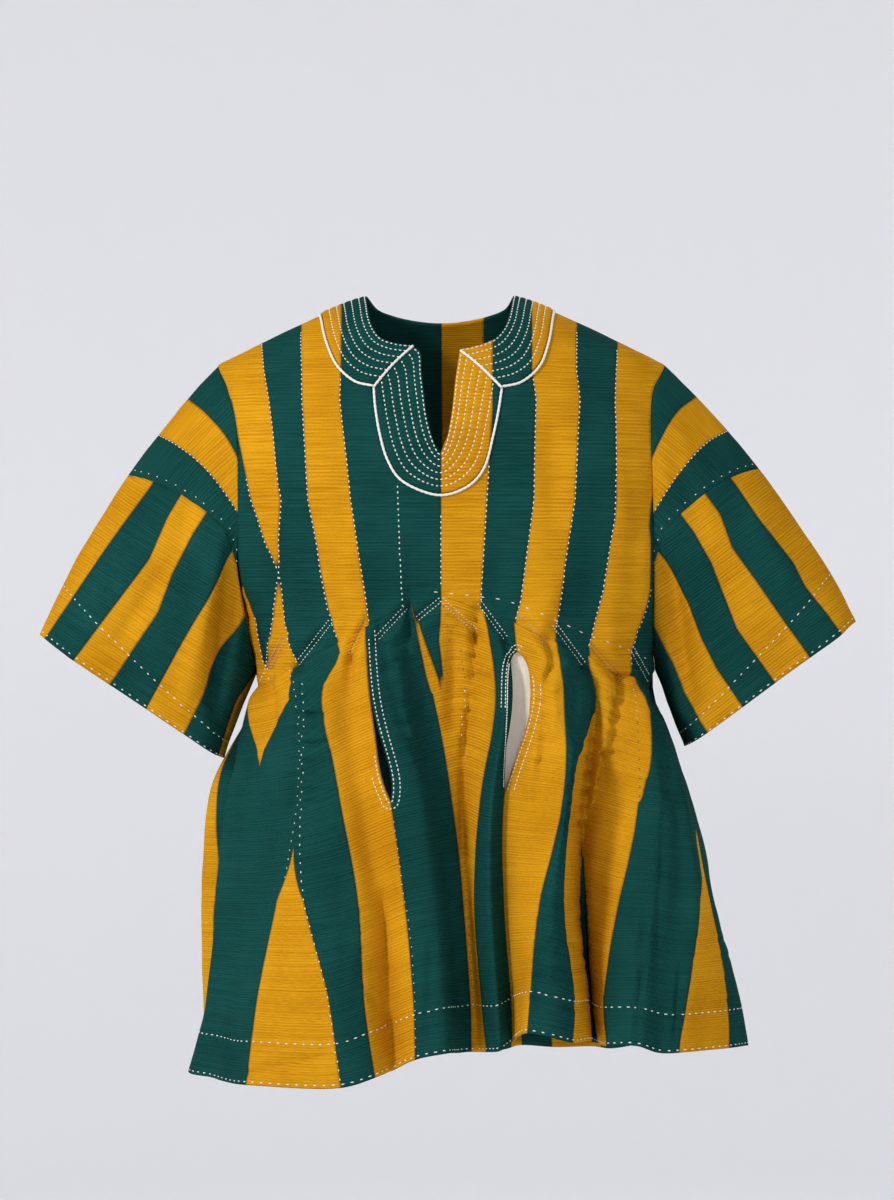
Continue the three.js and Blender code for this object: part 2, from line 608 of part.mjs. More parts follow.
function skirtGrid(from, to) {
  const columns = skirtColumns(from, to);
  const at = (c, r) => {
    const column = columns[c];
    const point = skirtPoint(SKIRT_RINGS[r], column.at);
    if (column.slit) point.x += column.pull * slitGap(column.slit, SKIRT_ROWS[r]);
    return point;
  };
  const missing = (c, r) => {
    const { slit, pull } = columns[c];
    return Boolean(slit) && pull < 0 && SKIRT_ROWS[r] >= slit.top && SKIRT_ROWS[r + 1] <= slit.foot;
  };
  return gridOf(columns.length, SKIRT_ROWS.length, at, { turned: true, missing });
}

// The pocket bag: a patch that hangs straight behind the fold that the slit lies in, close at its edges and roomy in
// the middle
function bagGrid() {
  const rows = BAG_ROWS.last - BAG_ROWS.first;
  const at = (c, r) => {
    const room = BAG_ROOM * Math.sin((Math.PI * c) / (BAG_COLUMNS - 1)) * Math.sin((Math.PI * r) / (rows - 1));
    const fold = skirtPoint(SKIRT_RINGS[BAG_ROWS.first + r], SLITS[1].line);
    const across = lerp(-BAG_HALF, BAG_HALF, c / (BAG_COLUMNS - 1));
    return fold.add(new THREE.Vector3(across, WALL + BAG_GAP + room, 0));
  };
  const grid = gridOf(BAG_COLUMNS, rows, at, { turned: true });
  sewnNormals([grid]);
  return grid;
}

// A table's row as a place on the upper bodice, for its inner edge or its outer one moved on by a margin
function yokeEdge(row, outer, margin = 0) {
  const length = Math.hypot(row.outX - row.x, row.outZ - row.z);
  const x = outer ? row.outX + ((row.outX - row.x) * margin) / length : row.x;
  const z = outer ? row.outZ + ((row.outZ - row.z) * margin) / length : row.z;
  const share = x / halfWidth(z, x);
  return { share, turn: turnOf(share, z, row.face) };
}

function between(a, b, t) {
  return { share: lerp(a.share, b.share, t), turn: lerp(a.turn, b.turn, t) };
}

function yokeGrid(rows) {
  const inner = rows.map((row) => yokeEdge(row, false));
  const outer = rows.map((row) => yokeEdge(row, true));
  const columns = (rows.length - 1) * YOKE_STEPS + 1;
  const at = (c, r) => {
    const k = Math.min(Math.floor(c / YOKE_STEPS), rows.length - 2);
    const t = c / YOKE_STEPS - k;
    const near = between(inner[k], inner[k + 1], t);
    const far = between(outer[k], outer[k + 1], t);
    const { share, turn } = between(near, far, lerp(0.02, 1, r / YOKE_ROWS));
    return offShoulder(share, turn, YOKE_LIFT + YOKE_WALL);
  };
  return gridOf(columns, YOKE_ROWS + 1, at, { turned: true });
}

function cordGeometry(points) {
  const ring = new THREE.Shape();
  for (let i = 0; i < CORD_SIDES; i++) {
    const angle = (2 * Math.PI * i) / CORD_SIDES;
    const x = CORD_RADIUS * Math.cos(angle);
    const y = CORD_RADIUS * Math.sin(angle);
    if (i === 0) ring.moveTo(x, y);
    else ring.lineTo(x, y);
  }
  const path = new THREE.CatmullRomCurve3(points);
  return new THREE.ExtrudeGeometry(ring, { steps: points.length + 1, bevelEnabled: false, extrudePath: path });
}

// The couched cord runs just outside the yoke's outer edge, on the bodice
function cordAlong(rows) {
  const places = rows.map((row) => yokeEdge(row, true, CORD_OUTSIDE));
  const points = [];
  for (let c = 0; c <= (places.length - 1) * YOKE_STEPS; c++) {
    const k = Math.min(Math.floor(c / YOKE_STEPS), places.length - 2);
    const { share, turn } = between(places[k], places[k + 1], c / YOKE_STEPS - k);
    points.push(offShoulder(share, turn, YOKE_LIFT + CORD_RADIUS));
  }
  return cordGeometry(points);
}

// A short cord lies on the yoke over each mitre
function mitreCord(row) {
  const from = yokeEdge(row, false);
  const to = yokeEdge(row, true);
  const lift = YOKE_LIFT + YOKE_WALL + SEAM_GAP + CORD_RADIUS;
  return cordGeometry([0.06, 0.35, 0.65, 0.92].map((t) => {
    const { share, turn } = between(from, to, t);
    return offShoulder(share, turn, lift);
  }));
}

const bodiceFront = bodiceGrid(-1);
const bodiceBack = bodiceGrid(1);
const sleeveGrids = SLEEVES.map((sleeve) => ({
  name: sleeve.name,
  cap: capGrid(sleeve),
  lower: lowerSleeveGrid(sleeve),
}));
sewnNormals([bodiceFront, bodiceBack, ...sleeveGrids.flatMap((one) => [one.cap, one.lower])]);
add("bodice_front", shell(bodiceFront, WALL), GREEN);
add("bodice_back", shell(bodiceBack, WALL), GREEN);
for (const { name, cap, lower } of sleeveGrids) {
  add("sleeve_cap_" + name, shell(cap, WALL), GREEN);
  add("sleeve_" + name, shell(lower, WALL), GREEN);
}

const skirtFront = skirtGrid(0, FRONT_LINES);
const skirtBack = skirtGrid(FRONT_LINES, RING.length);
sewnNormals([skirtFront, skirtBack]);
add("skirt_front", shell(skirtFront, WALL), GREEN);
add("skirt_back", shell(skirtBack, WALL), GREEN);
add("pocket_bag", shell(bagGrid(), BAG_WALL), CALICO);

const bandGrid = yokeGrid(BAND);
const placketGrid = yokeGrid(PLACKET);
sewnNormals([bandGrid]);
sewnNormals([placketGrid]);
add("yoke_band", shell(bandGrid, YOKE_WALL), GREEN);
add("yoke_placket", shell(placketGrid, YOKE_WALL), GREEN);
add("cord_band", cordAlong(BAND), THREAD);
add("cord_placket", cordAlong(PLACKET.slice(1, -1)), THREAD);
add("cord_mitre_left", mitreCord(PLACKET[0]), THREAD);
add("cord_mitre_right", mitreCord(PLACKET[PLACKET.length - 1]), THREAD);

export default smock;
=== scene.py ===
"""The looks of a fugu smock: striped hand-woven cloth, quilting, couched cord and hand stitches."""
import math
import random
from collections import namedtuple

import bmesh
import bpy
from mathutils import Matrix, Vector
from mathutils.bvhtree import BVHTree
from mathutils.noise import noise as noise_at


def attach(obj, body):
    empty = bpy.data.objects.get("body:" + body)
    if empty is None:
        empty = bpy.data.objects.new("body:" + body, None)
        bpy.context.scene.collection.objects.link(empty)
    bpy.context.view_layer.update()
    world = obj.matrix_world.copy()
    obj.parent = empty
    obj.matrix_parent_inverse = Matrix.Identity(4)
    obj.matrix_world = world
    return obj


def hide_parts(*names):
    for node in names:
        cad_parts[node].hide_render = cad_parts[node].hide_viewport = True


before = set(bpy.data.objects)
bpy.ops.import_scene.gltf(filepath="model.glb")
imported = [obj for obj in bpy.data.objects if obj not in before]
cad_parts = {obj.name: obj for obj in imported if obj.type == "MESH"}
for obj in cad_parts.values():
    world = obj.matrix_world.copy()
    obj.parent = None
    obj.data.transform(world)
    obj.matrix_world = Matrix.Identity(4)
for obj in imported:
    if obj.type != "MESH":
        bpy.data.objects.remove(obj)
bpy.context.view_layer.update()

bl_info = {
    "name": "Fugu smock",
    "version": (1, 0, 0),
    "blender": (4, 2, 0),
    "location": "View3D > Sidebar > Smock",
    "description": "Builds a hand-woven striped smock on its CAD frame",
    "category": "Mesh",
}

MM = 0.001

# The bodice: shoulder line, chest and waist, in millimetres as everything up to the materials is
TOP_HALF = 222
NECK_SHARE = 74 / TOP_HALF
NECK_RISE = 8
SHOULDER_DROP = 107.7
SHOULDER_SOFTNESS = 0.12
RIDGE_Y = 5
CHEST_Z = -220
WAIST_MID_Z = -297
WAIST_SIDE_DROP = 90
WAIST_SOFTNESS = 0.1
WAIST_WIDTH_Z = -385

Section = namedtuple("Section", "z left right front back")
BODY = [
    Section(-400, 179, 214, 115, 99),
    Section(-385, 182, 214, 116, 100),
    Section(-335, 190, 211, 119, 102),
    Section(-300, 195, 210, 121, 104),
    Section(-265, 199, 209, 122, 105),
    Section(-200, 199, 208, 122, 106),
    Section(-130, 201, 207, 122, 106),
    Section(-90, 211, 211, 122, 106),
    Section(-64, 222, 223, 122, 106),
    Section(20, 228, 228, 122, 106),
]

Armhole = namedtuple("Armhole", "z share")
ARMHOLE = [
    Armhole(-400, 0),
    Armhole(-370, 0),
    Armhole(-345, 0.22),
    Armhole(-310, 0.38),
    Armhole(-265, 0.52),
    Armhole(-220, 0.6),
    Armhole(20, 0.6),
]

Drape = namedtuple("Drape", "face share lean width out start")
DRAPE_END = -330
DRAPES = [
    Drape(-1, -0.86, 0.05, 0.07, 5, -110),
    Drape(-1, -0.66, 0.03, 0.06, -4, -170),
    Drape(-1, -0.42, 0.02, 0.07, 4, -190),
    Drape(-1, 0.26, -0.03, 0.06, -3, -200),
    Drape(-1, 0.5, -0.04, 0.07, 4, -180),
    Drape(-1, 0.72, -0.02, 0.06, -4, -150),
    Drape(-1, 0.88, -0.06, 0.07, 6, -100),
    Drape(1, -0.84, 0.06, 0.08, 5, -110),
    Drape(1, -0.5, 0.05, 0.07, -4, -160),
    Drape(1, 0.1, 0.02, 0.09, -4, -140),
    Drape(1, 0.55, -0.04, 0.07, 5, -180),
    Drape(1, 0.82, -0.05, 0.07, -4, -120),
]

# The neck's edge as seen from the front, x and z
NECK_FRONT = [
    (-74, 2), (-72, -12), (-68, -30), (-59, -44), (-44, -50), (-27, -52), (-20.5, -57), (-18, -84),
    (-13.5, -121), (-7, -146), (0, -157), (7, -140), (12, -112), (15.5, -76), (18.5, -56), (40, -51),
    (54, -44), (64, -30), (69, -12), (72, 2),
]
NECK_BACK = [(-74, 2), (-66, -6), (-50, -13), (-26, -18), (0, -20), (26, -18), (50, -13), (66, -6), (72, 2)]
OUTER_COLUMNS = [0.4, 0.47, 0.54, 0.62, 0.7, 0.78, 0.85, 0.91, 0.96, 1]
LOWER_ROWS = [0, 0.1, 0.3, 0.5, 0.73, 1]
UPPER_ROWS = 10
CHEST_ROW = len(LOWER_ROWS) - 1
TOP_ROW = CHEST_ROW + UPPER_ROWS
UNDERARM_ROW = 1

# The yoke: the neck's edge paired with the yoke's outer edge
Pair = namedtuple("Pair", "face x z out_x out_z")
BAND = [
    Pair(-1, -28.5, -52, -64.5, -90.5),
    Pair(-1, -44, -50, -82, -86),
    Pair(-1, -59, -44, -98, -72),
    Pair(-1, -68, -30, -109, -50),
    Pair(-1, -72, -12, -115, -28),
    Pair(1, -74, 9, -118, 0),
    Pair(1, -66, -6, -108, -34),
    Pair(1, -50, -13, -84, -54),
    Pair(1, -26, -18, -46, -66),
    Pair(1, 0, -20, 0, -69),
    Pair(1, 26, -18, 44, -66),
    Pair(1, 50, -13, 80, -54),
    Pair(1, 66, -6, 101, -34),
    Pair(1, 72, 9, 110, 0),
    Pair(-1, 69, -12, 107, -28),
    Pair(-1, 64, -30, 102, -52),
    Pair(-1, 54, -44, 92, -74),
    Pair(-1, 40, -51, 76, -87),
    Pair(-1, 20, -56, 58, -91.5),
]
PLACKET = [
    Pair(-1, -27, -53.5, -63.5, -92.5),
    Pair(-1, -19.5, -60, -62, -112),
    Pair(-1, -18, -84, -58, -136),
    Pair(-1, -13.5, -121, -50, -163),
    Pair(-1, -7, -146, -35, -184),
    Pair(-1, 0, -158.5, -3, -196.5),
    Pair(-1, 6, -144, 24, -189),
    Pair(-1, 11, -116, 41, -170),
    Pair(-1, 15, -80, 50, -137),
    Pair(-1, 18, -60, 55, -112),
    Pair(-1, 19, -58, 57.5, -93.5),
]
YOKE_LIFT = 2.0
QUILT_ROWS = 6
QUILT_PUFF = 0.7
QUILT_PARTS = 43
YOKE_PARTS = 8
CORD_RADIUS = 1.35
CORD_OUTSIDE = 2.2
CORD_LIFT = 1.4
MITRE_LIFT = 1.6
CORD_SIDES = 12
CORD_STEP = 1.2
CORD_PLY = 0.14
CORD_TWIST = 1.3

# The sleeves, seen from the front, with each arm's own way along and across
Sleeve = namedtuple("Sleeve", "name side top_x top_z low_x low_z start along across crest")
SLEEVES = [
    Sleeve("left", -1, -401, -334, -216, -458, (-223, -66), (-0.545, -0.84), (0.84, -0.545), (-16, -3)),
    Sleeve("right", 1, 414, -321, 243, -446, (223, -65), (0.6, -0.8), (-0.8, -0.6), (-7, 0)),
]
CUFF_HALF_DEPTH = 46
CUFF_SQUARENESS = 0.7
CUFF_Y = -4
CUFF_LAG = 1.3
SLEEVE_CROWN = 14
SLEEVE_BELLY = 6
CAP_TOP = 0.44
CAP_COLUMNS = 11
ARM_STEPS = TOP_ROW - UNDERARM_ROW
ARM_RING = 2 * ARM_STEPS
Wave = namedtuple("Wave", "turn width low")
SLEEVE_WAVES = [
    Wave(0.14, 0.05, 4),
    Wave(0.27, 0.05, -5),
    Wave(0.4, 0.045, 6),
    Wave(0.62, 0.05, -5),
    Wave(0.8, 0.06, 5),
]

# The skirt's lines from the left side seam round the front and the back: where each is seen at the waist, at
# the four levels and at the hem, how far out its foot stands and how high the foot is seen
LEVELS = (-400, -500, -600, -700)
Line = namedtuple("Line", "name waist a b c d hem out foot")
SKIRT_FRONT = [
    Line("side seam", -183, -185, -190, -197, -212, -228, 8, -757),
    Line("side roll", -181, -191, -215, -226, -235, -253, -55, -772),
    Line("side root", -175, -180, -197, -206, -217, -232, -88, -777),
    Line("first ridge", -164, -164, -173, -186, -200, -213, -128, -783),
    Line("gore left", -151, -148, -146, -164, -184, -195, -150, -785),
    Line("gore right", -141, -138, -140, -137, -112, -100, -174, -788),
    Line("gold strip", -112, -118, -101, -83, -77, -66, -168, -778),
    Line("gold crease", -90, -94, -77, -60, -53, -48, -144, -770),
    Line("left pocket", -72, -70, -51, -37, -28, -26, -166, -760),
    Line("second ridge", -54, -40, -21, -7, 2, 5, -168, -754),
    Line("middle wall", -40, -25, -6, 8, 16, 18, -124, -753),
    Line("thin gold", -28, -10, 8, 19, 27, 28, -108, -752),
    Line("stitched crease", 0, 24, 21, 26, 33, 36, -102, -752),
    Line("green strip", 44, 54, 39, 33, 40, 45, -119, -752),
    Line("third ridge", 58, 65, 51, 49, 56, 59, -148, -751),
    Line("right pocket", 74, 79, 63, 63, 70, 71, -122, -742),
    Line("lobe wall", 92, 100, 84, 74, 77, 76, -154, -737),
    Line("lobe left", 116, 124, 122, 100, 89, 86, -186, -733),
    Line("lobe crest", 123, 132, 127, 112, 111, 108, -192, -737),
    Line("lobe right", 130, 140, 131, 123, 134, 132, -176, -743),
    Line("lobe edge", 136, 147, 136, 133, 146, 148, -138, -741),
    Line("deep root", 143, 153, 145, 142, 150, 153, -84, -742),
    Line("deep wall", 152, 161, 158, 152, 153, 160, -112, -745),
    Line("wide green", 190, 195, 198, 176, 162, 165, -144, -746),
    Line("fourth ridge", 200, 206, 220, 212, 198, 196, -168, -746),
    Line("green crease", 206, 211, 235, 238, 226, 219, -153, -753),
    Line("right gold", 209, 214, 244, 259, 247, 239, -150, -753),
    Line("right edge", 211.5, 216, 248, 269, 287, 288, -106, -748),
    Line("right corner", 213, 217, 250, 272, 298, 307, -50, -745),
]
SKIRT_BACK = [
    Line("side seam", 214, None, 232, None, None, 268, 12, -746),
    Line("corner", 209, None, 250, None, None, 284, 72, -747),
    Line("crest 1", 192, None, 236, None, None, 261, 134, -744),
    Line("root 1", 174, None, 207, None, None, 236, 110, -746),
    Line("crest 2", 152, None, 179, None, None, 202, 158, -744),
    Line("root 2", 133, None, 153, None, None, 172, 100, -748),
    Line("crest 3", 112, None, 132, None, None, 150, 150, -746),
    Line("root 3", 90, None, 104, None, None, 116, 128, -747),
    Line("crest 4", 64, None, 74, None, None, 80, 168, -745),
    Line("root 4", 44, None, 50, None, None, 58, 116, -750),
    Line("crest 5", 18, None, 20, None, None, 22, 160, -748),
    Line("root 5", 0, None, -2, None, None, -8, 124, -750),
    Line("crest 6", -30, None, -36, None, None, -40, 172, -747),
    Line("root 6", -52, None, -61, None, None, -66, 114, -752),
    Line("crest 7", -72, None, -84, None, None, -92, 152, -750),
    Line("root 7", -98, None, -114, None, None, -124, 120, -751),
    Line("crest 8", -122, None, -147, None, None, -162, 160, -749),
    Line("root 8", -143, None, -173, None, None, -188, 102, -754),
    Line("crest 9", -160, None, -204, None, None, -217, 130, -752),
    Line("corner left", -175, None, -232, None, None, -238, 82, -755),
]
FRONT_LINES = len(SKIRT_FRONT)
RING = [(line, -1) for line in SKIRT_FRONT] + [(line, 1) for line in SKIRT_BACK]
SKIRT_PARTS = {"skirt_front": 8, "skirt_back": 10}
FINE_ROWS = 8
FINE_STEP = 0.0055
COARSE_STEP = 0.009
SKIRT_ROWS = [0, 0.03, 0.07, 0.12, 0.18, 0.25, 0.32, 0.4, 0.49, 0.58, 0.67, 0.76, 0.85, 0.93, 1]
FOLD_EASE = 0.5
WAIST_ROLL = 0.045
WAIST_START = 0.25
SKIRT_LENGTH = 470
Slit = namedtuple("Slit", "line top foot gap widest")
SLIT_EDGE = 0.01
BESIDE_SLIT = 0.011
SLITS = [Slit(8, 0.07, 0.4, 9, 0.8), Slit(15, 0.07, 0.4, 22, 0.3)]
BAG_HALF = 19
BAG_ROOM = 7
BAG_BEHIND = 2.6
BAG_TOP = 0.035
BAG_FOOT = 0.485
BAG_COLUMNS = 34
BAG_ROWS = 60
BAG_CRUMPLE = 1.2

# The eye from which the front is set out
EYE_X = 6
EYE_Z = -300
EYE_AWAY = 3400

# Past this depth in a band its distance no longer matters
BAND_FAR = 9
# Gold bands, each a list of level, left edge and right edge from the top down; all between them is green
GOLD_FRONT = [
    [(40, -260, -181), (-45, -250, -179), (-70, -240, -177), (-88, -222, -174), (-100, -210, -172),
     (-140, -203, -167), (-200, -190, -159), (-240, -176, -162), (-273, -164, -164)],
    [(-273, -164, -164), (-300, -167, -160), (-320, -169, -157), (-345, -172, -151), (-360, -175, -145),
     (-400, -184, -141)],
    [(-285, -205, -199), (-320, -205, -189), (-350, -205, -183), (-372, -205, -175), (-400, -205, -172)],
    [(40, -141, -99), (-70, -139, -100), (-100, -139, -101), (-200, -133, -91), (-300, -114, -75),
     (-331, -106, -71), (-360, -97, -70)],
    [(40, 0, 52), (-110, 0, 51.5), (-150, 0, 49), (-200, 0, 46), (-300, 0, 40), (-330, 0, 42)],
    [(40, 91, 137), (-70, 91, 135), (-100, 95, 139), (-200, 93, 134), (-300, 80, 119), (-318, 75, 116),
     (-360, 73, 112)],
    [(40, 178, 270), (-70, 175, 260), (-100, 174, 250), (-170, 174, 230), (-200, 174, 211), (-220, 173, 209),
     (-290, 162, 206), (-320, 154, 199), (-345, 148, 193), (-400, 145, 187)],
]
GOLD_BACK = [
    [(40, -260, -181), (-200, -205, -160), (-400, -172, -150)],
    [(40, -141, -99), (-200, -134, -92), (-400, -112, -74)],
    [(40, 0, 44), (-400, 2, 41)],
    [(40, 94, 137), (-200, 93, 134), (-400, 82, 120)],
    [(40, 178, 270), (-120, 176, 250), (-200, 174, 230), (-400, 158, 196)],
]
# On the skirt the edges are counted in its lines
GOLD_SKIRT = [
    [(-355, 1.2, 4.85), (-385, 1.2, 3.9), (-400, 1.0, 3.7), (-420, 1.5, 3.1), (-450, 2.25, 2.6),
     (-467, 2.5, 2.5)],
    [(-547, 4.5, 4.5), (-600, 4, 5), (-800, 4, 5)],
    [(-318, 6.2, 8), (-340, 6.5, 8), (-352, 6.7, 8), (-366, 6.5, 8), (-385, 6.1, 8), (-400, 6, 8),
     (-800, 6, 8)],
    [(-200, 11, 11.05), (-303, 11, 11.05), (-340, 11, 11.2), (-376, 11, 11.35), (-392, 11.05, 11.4)],
    [(-200, 12, 13), (-300, 12, 13), (-340, 11.62, 13), (-376, 11.5, 13), (-390, 11.4, 13), (-394, 11.1, 13),
     (-500, 11.2, 13), (-560, 11.4, 13), (-800, 11.3, 13)],
    [(-200, 15, 17), (-800, 15, 17)],
    # Below -540 these two bands leave green between lines 20.5 and 21.6: dark green painted in the deep fold
    # right of the lobe, as painted shade
    [(-330, 21.7, 23), (-340, 21.7, 23), (-365, 21.4, 23), (-390, 21.2, 23.5), (-410, 21, 23.9),
     (-435, 20.2, 23.7), (-465, 19, 23.4), (-500, 19, 23.1), (-540, 19, 21), (-620, 19, 20.6),
     (-800, 19, 20.5)],
    [(-500, 21, 23), (-540, 21, 23), (-620, 21.5, 23), (-800, 21.6, 23)],
    [(-520, 27, 27), (-600, 26, 27), (-800, 26, 27)],
    [(-200, 30.8, 32.7), (-800, 30.8, 32.4)],
    [(-200, 34.6, 36.3), (-800, 34.5, 36.1)],
    [(-560, 37.2, 37.2), (-800, 36.9, 37.6)],
    [(-200, 38.1, 39.9), (-800, 38.2, 39.8)],
    [(-540, 41.6, 41.6), (-800, 41.1, 42.1)],
    [(-200, 43.1, 44.6), (-800, 43.2, 44.5)],
    [(-200, 46.4, 47.5), (-800, 46.3, 47.3)],
    [(-420, 48.1, 48.1), (-560, 47.9, 48.4), (-800, 47.9, 48.4)],
]
# On a lower sleeve the level is how far down the arm, and the edges lie across it, past its top to the back
GOLD_SLEEVES = {
    "left": [
        [(-100, -36, 9), (-141, -36, 9), (-213, -36, 6), (-321, -36, 2), (-360, -36, 2)],
        [(-100, 38, 70), (-155, 40, 70.5), (-200, 47.5, 75), (-240, 45, 84), (-328, 39, 82.5),
         (-360, 39, 82)],
        [(-100, 112, 156), (-162, 114, 156), (-200, 117.5, 160), (-258, 121, 160), (-284, 123, 167),
         (-335, 127, 173), (-360, 127, 173)],
        [(-100, 198, 280), (-269, 198, 280), (-327, 213, 280), (-360, 213, 280)],
        [(-100, -122, -80), (-360, -124, -84)],
        [(-100, -206, -164), (-360, -208, -168)],
    ],
    "right": [
        [(-100, -40, 14), (-143, -40, 14.5), (-181, -40, 17), (-237, -40, 15.5), (-260, -40, 20),
         (-360, -40, 19)],
        [(-100, 44, 76), (-153, 44.5, 76.5), (-187, 55, 81), (-230, 56, 93), (-255, 57, 100),
         (-360, 59, 102)],
        [(-100, 116, 160), (-157, 117, 163), (-205, 122.5, 165.5), (-243, 134, 172), (-275, 140, 182),
         (-360, 144, 189)],
        [(-100, -122, -80), (-360, -124, -84)],
        [(-100, -206, -164), (-360, -208, -168)],
    ],
}
# The cap's gold half strip lies between two curves, each with its share of the arm on top and its last step
CAP_CURVES = ((0.14, 7.5), (0.285, 9.8))

# The tacked folds under the waist as seen; the shade column draws some of their stitches brown on the gold
Tack = namedtuple("Tack", "x0 z0 x1 z1 shade")
TACKS = [
    Tack(-158, -338, -172, -366, 0.5),
    Tack(-111, -322, -143, -363, 0),
    Tack(-75, -320, -91, -355, 0.9),
    Tack(-36, -308, -63, -337, 0),
    Tack(-1, -300, -23, -318, 0),
    Tack(1, -300, 34, -330, 0.2),
    Tack(39, -303, 64, -337, 0),
    Tack(79, -315, 107, -345, 0.6),
    Tack(114, -325, 142, -363, 0),
    Tack(149, -345, 181, -380, 0.9),
    Tack(192, -350, 214, -390, 0),
]
TACKS_BACK = [
    Tack(-150, -338, -168, -368, 0),
    Tack(-104, -318, -128, -350, 0.6),
    Tack(-62, -306, -88, -334, 0),
    Tack(-16, -301, -40, -322, 0),
    Tack(22, -302, 48, -322, 0.6),
    Tack(70, -306, 98, -336, 0),
    Tack(116, -322, 140, -352, 0.6),
    Tack(158, -340, 182, -372, 0),
]
# A loose basting row over the waist, as seen
BASTING = [
    (-5, -292), (25, -295), (58, -299), (76, -304), (112, -319), (142, -333), (160, -340), (186, -349),
    (204, -358),
]

# Creases as seen from the front: two ends, half width and how far out
Crease = namedtuple("Crease", "x0 z0 x1 z1 width out")
CREASE_END = 12
CREASE_REACH = 2.6
LONG_CREASE = 60
TROUGH_GAIN = 1.4
RIDGE_GAIN = 1.25
CREASES_FRONT = [
    Crease(-166, -245, -161, -345, 7, -3),
    Crease(-196, -300, -175, -376, 5, -3),
    Crease(-172, -366, -168, -415, 3.5, -3),
    Crease(-143, -363, -146, -500, 3, -2),
    Crease(-112, -365, -108, -450, 14, 5),
    Crease(-91, -353, -91, -386, 4, -6),
    Crease(-72, -370, -62, -440, 8, 3),
    Crease(-61, -336, -53, -380, 3.4, -4),
    Crease(-53, -378, -38, -430, 3.4, -3.5),
    Crease(-38, -428, -20, -462, 3.4, -3),
    Crease(-45, -350, -18, -440, 9, 3.5),
    Crease(-33, -300, -33, -341, 3.2, -6.5),
    Crease(-47, -347, -24, -350, 6, 3.5),
    Crease(38, -302, 31, -390, 4.5, -8),
    Crease(31, -388, 23, -462, 4.5, -8),
    Crease(23, -460, 22, -560, 4.5, -7),
    Crease(51, -330, 42, -450, 9, 4.5),
    Crease(14, -325, 13, -435, 9, -8),
    Crease(92, -324, 108, -380, 8, 5.5),
    Crease(108, -378, 112, -440, 8, 4.5),
    Crease(110, -362, 103, -392, 3.6, -6),
    Crease(107, -395, 93, -530, 3, -3),
    Crease(98, -395, 83, -530, 6, 2),
    Crease(134, -365, 136, -445, 9, -8),
    Crease(184, -372, 175, -432, 4.5, -8),
    Crease(175, -430, 160, -492, 4.5, -8),
    Crease(160, -490, 146, -545, 4.5, -7),
    Crease(200, -390, 204, -480, 10, 4.5),
    Crease(160, -375, 164, -450, 8, 3.5),
    Crease(212, -388, 228, -500, 5, -4),
    Crease(225, -490, 214, -700, 4, -2.5),
    Crease(-190, -440, -214, -570, 5, -3.5),
    Crease(-161, -430, -196, -610, 5, -3),
    Crease(-36, -600, -30, -760, 5, -3),
    Crease(-60, -590, -48, -770, 5, -3),
    Crease(-120, -560, -96, -760, 12, 4),
    Crease(-198, -774, -106, -752, 3.6, -5),
    Crease(-133, -655, -137, -738, 3.2, -3),
    Crease(-124, -700, -152, -716, 3, -2.5),
    Crease(-58, -585, -56, -715, 2.6, -4.5),
    Crease(-54, -710, -50, -772, 2.6, -4.5),
    Crease(-76, -688, -60, -712, 3, -3.5),
    Crease(-84, -640, -92, -690, 4, 2.5),
    Crease(206, -585, 196, -748, 2.4, -4),
    Crease(-10, -640, -16, -750, 3, -3),
    Crease(126, -640, 150, -662, 3, -3),
    Crease(112, -715, 152, -700, 3.4, -3.5),
    Crease(82, -690, 104, -706, 3, -3),
    Crease(240, -660, 236, -745, 3.4, -3),
    Crease(100, -560, 96, -740, 7, -4),
    Crease(184, -520, 172, -740, 8, 4),
    Crease(205, -230, 200, -330, 8, 4),
    Crease(120, -270, 100, -335, 10, 3),
    Crease(-120, -250, -100, -330, 10, 3),
    Crease(60, -250, 55, -310, 9, -2),
    Crease(-40, -240, -45, -310, 9, 2),
    Crease(-150, -120, -170, -250, 12, 2.5),
    Crease(170, -110, 182, -240, 12, 2.5),
    Crease(110, -120, 116, -240, 12, -2),
    Crease(-100, -130, -92, -250, 11, -2),
]
# Seams drawn up by their thread: where the wrinkles start and end, how far each runs and how many there are
Pucker = namedtuple("Pucker", "x0 z0 x1 z1 run count depth")
PUCKERS = [
    Pucker(-148, -368, -142, -520, 26, 15, 2.9),
    Pucker(-60, -345, -30, -450, 14, 8, 3),
    Pucker(148, -440, 128, -540, 22, 9, 3.2),
    Pucker(30, -320, 22, -420, 13, 8, 2.6),
    Pucker(170, -400, 150, -470, 16, 6, 3),
    Pucker(96, -400, 84, -510, 15, 8, 2.4),
    Pucker(-126, -590, -106, -740, 22, 7, 2),
    Pucker(96, -620, 94, -730, 20, 6, 2.4),
    Pucker(-86, -610, -72, -700, 16, 7, 2.4),
    Pucker(262, -640, 272, -720, 15, 6, 1.4),
    Pucker(128, -600, 134, -720, 16, 8, 2.2),
    Pucker(-190, -300, -180, -350, 14, 4, 2),
]
CREASES_BACK = [
    Crease(-150, -150, -120, -330, 10, -3),
    Crease(-60, -220, -70, -320, 9, 3),
    Crease(30, -200, 20, -300, 9, -2.5),
    Crease(120, -190, 104, -330, 9, 3),
    Crease(180, -200, 170, -350, 8, -3),
    Crease(-110, -330, -118, -420, 5, -4),
    Crease(-56, -320, -60, -430, 6, -4),
    Crease(6, -300, 4, -420, 5, -4),
    Crease(50, -315, 48, -400, 6, -3),
    Crease(98, -330, 104, -420, 5, -4),
    Crease(160, -360, 182, -470, 5, -4),
    Crease(-150, -350, -176, -480, 6, -4),
    Crease(70, -560, 84, -740, 5, 3),
    Crease(-100, -540, -116, -740, 5, -3),
    Crease(-10, -500, -24, -740, 6, 3),
]
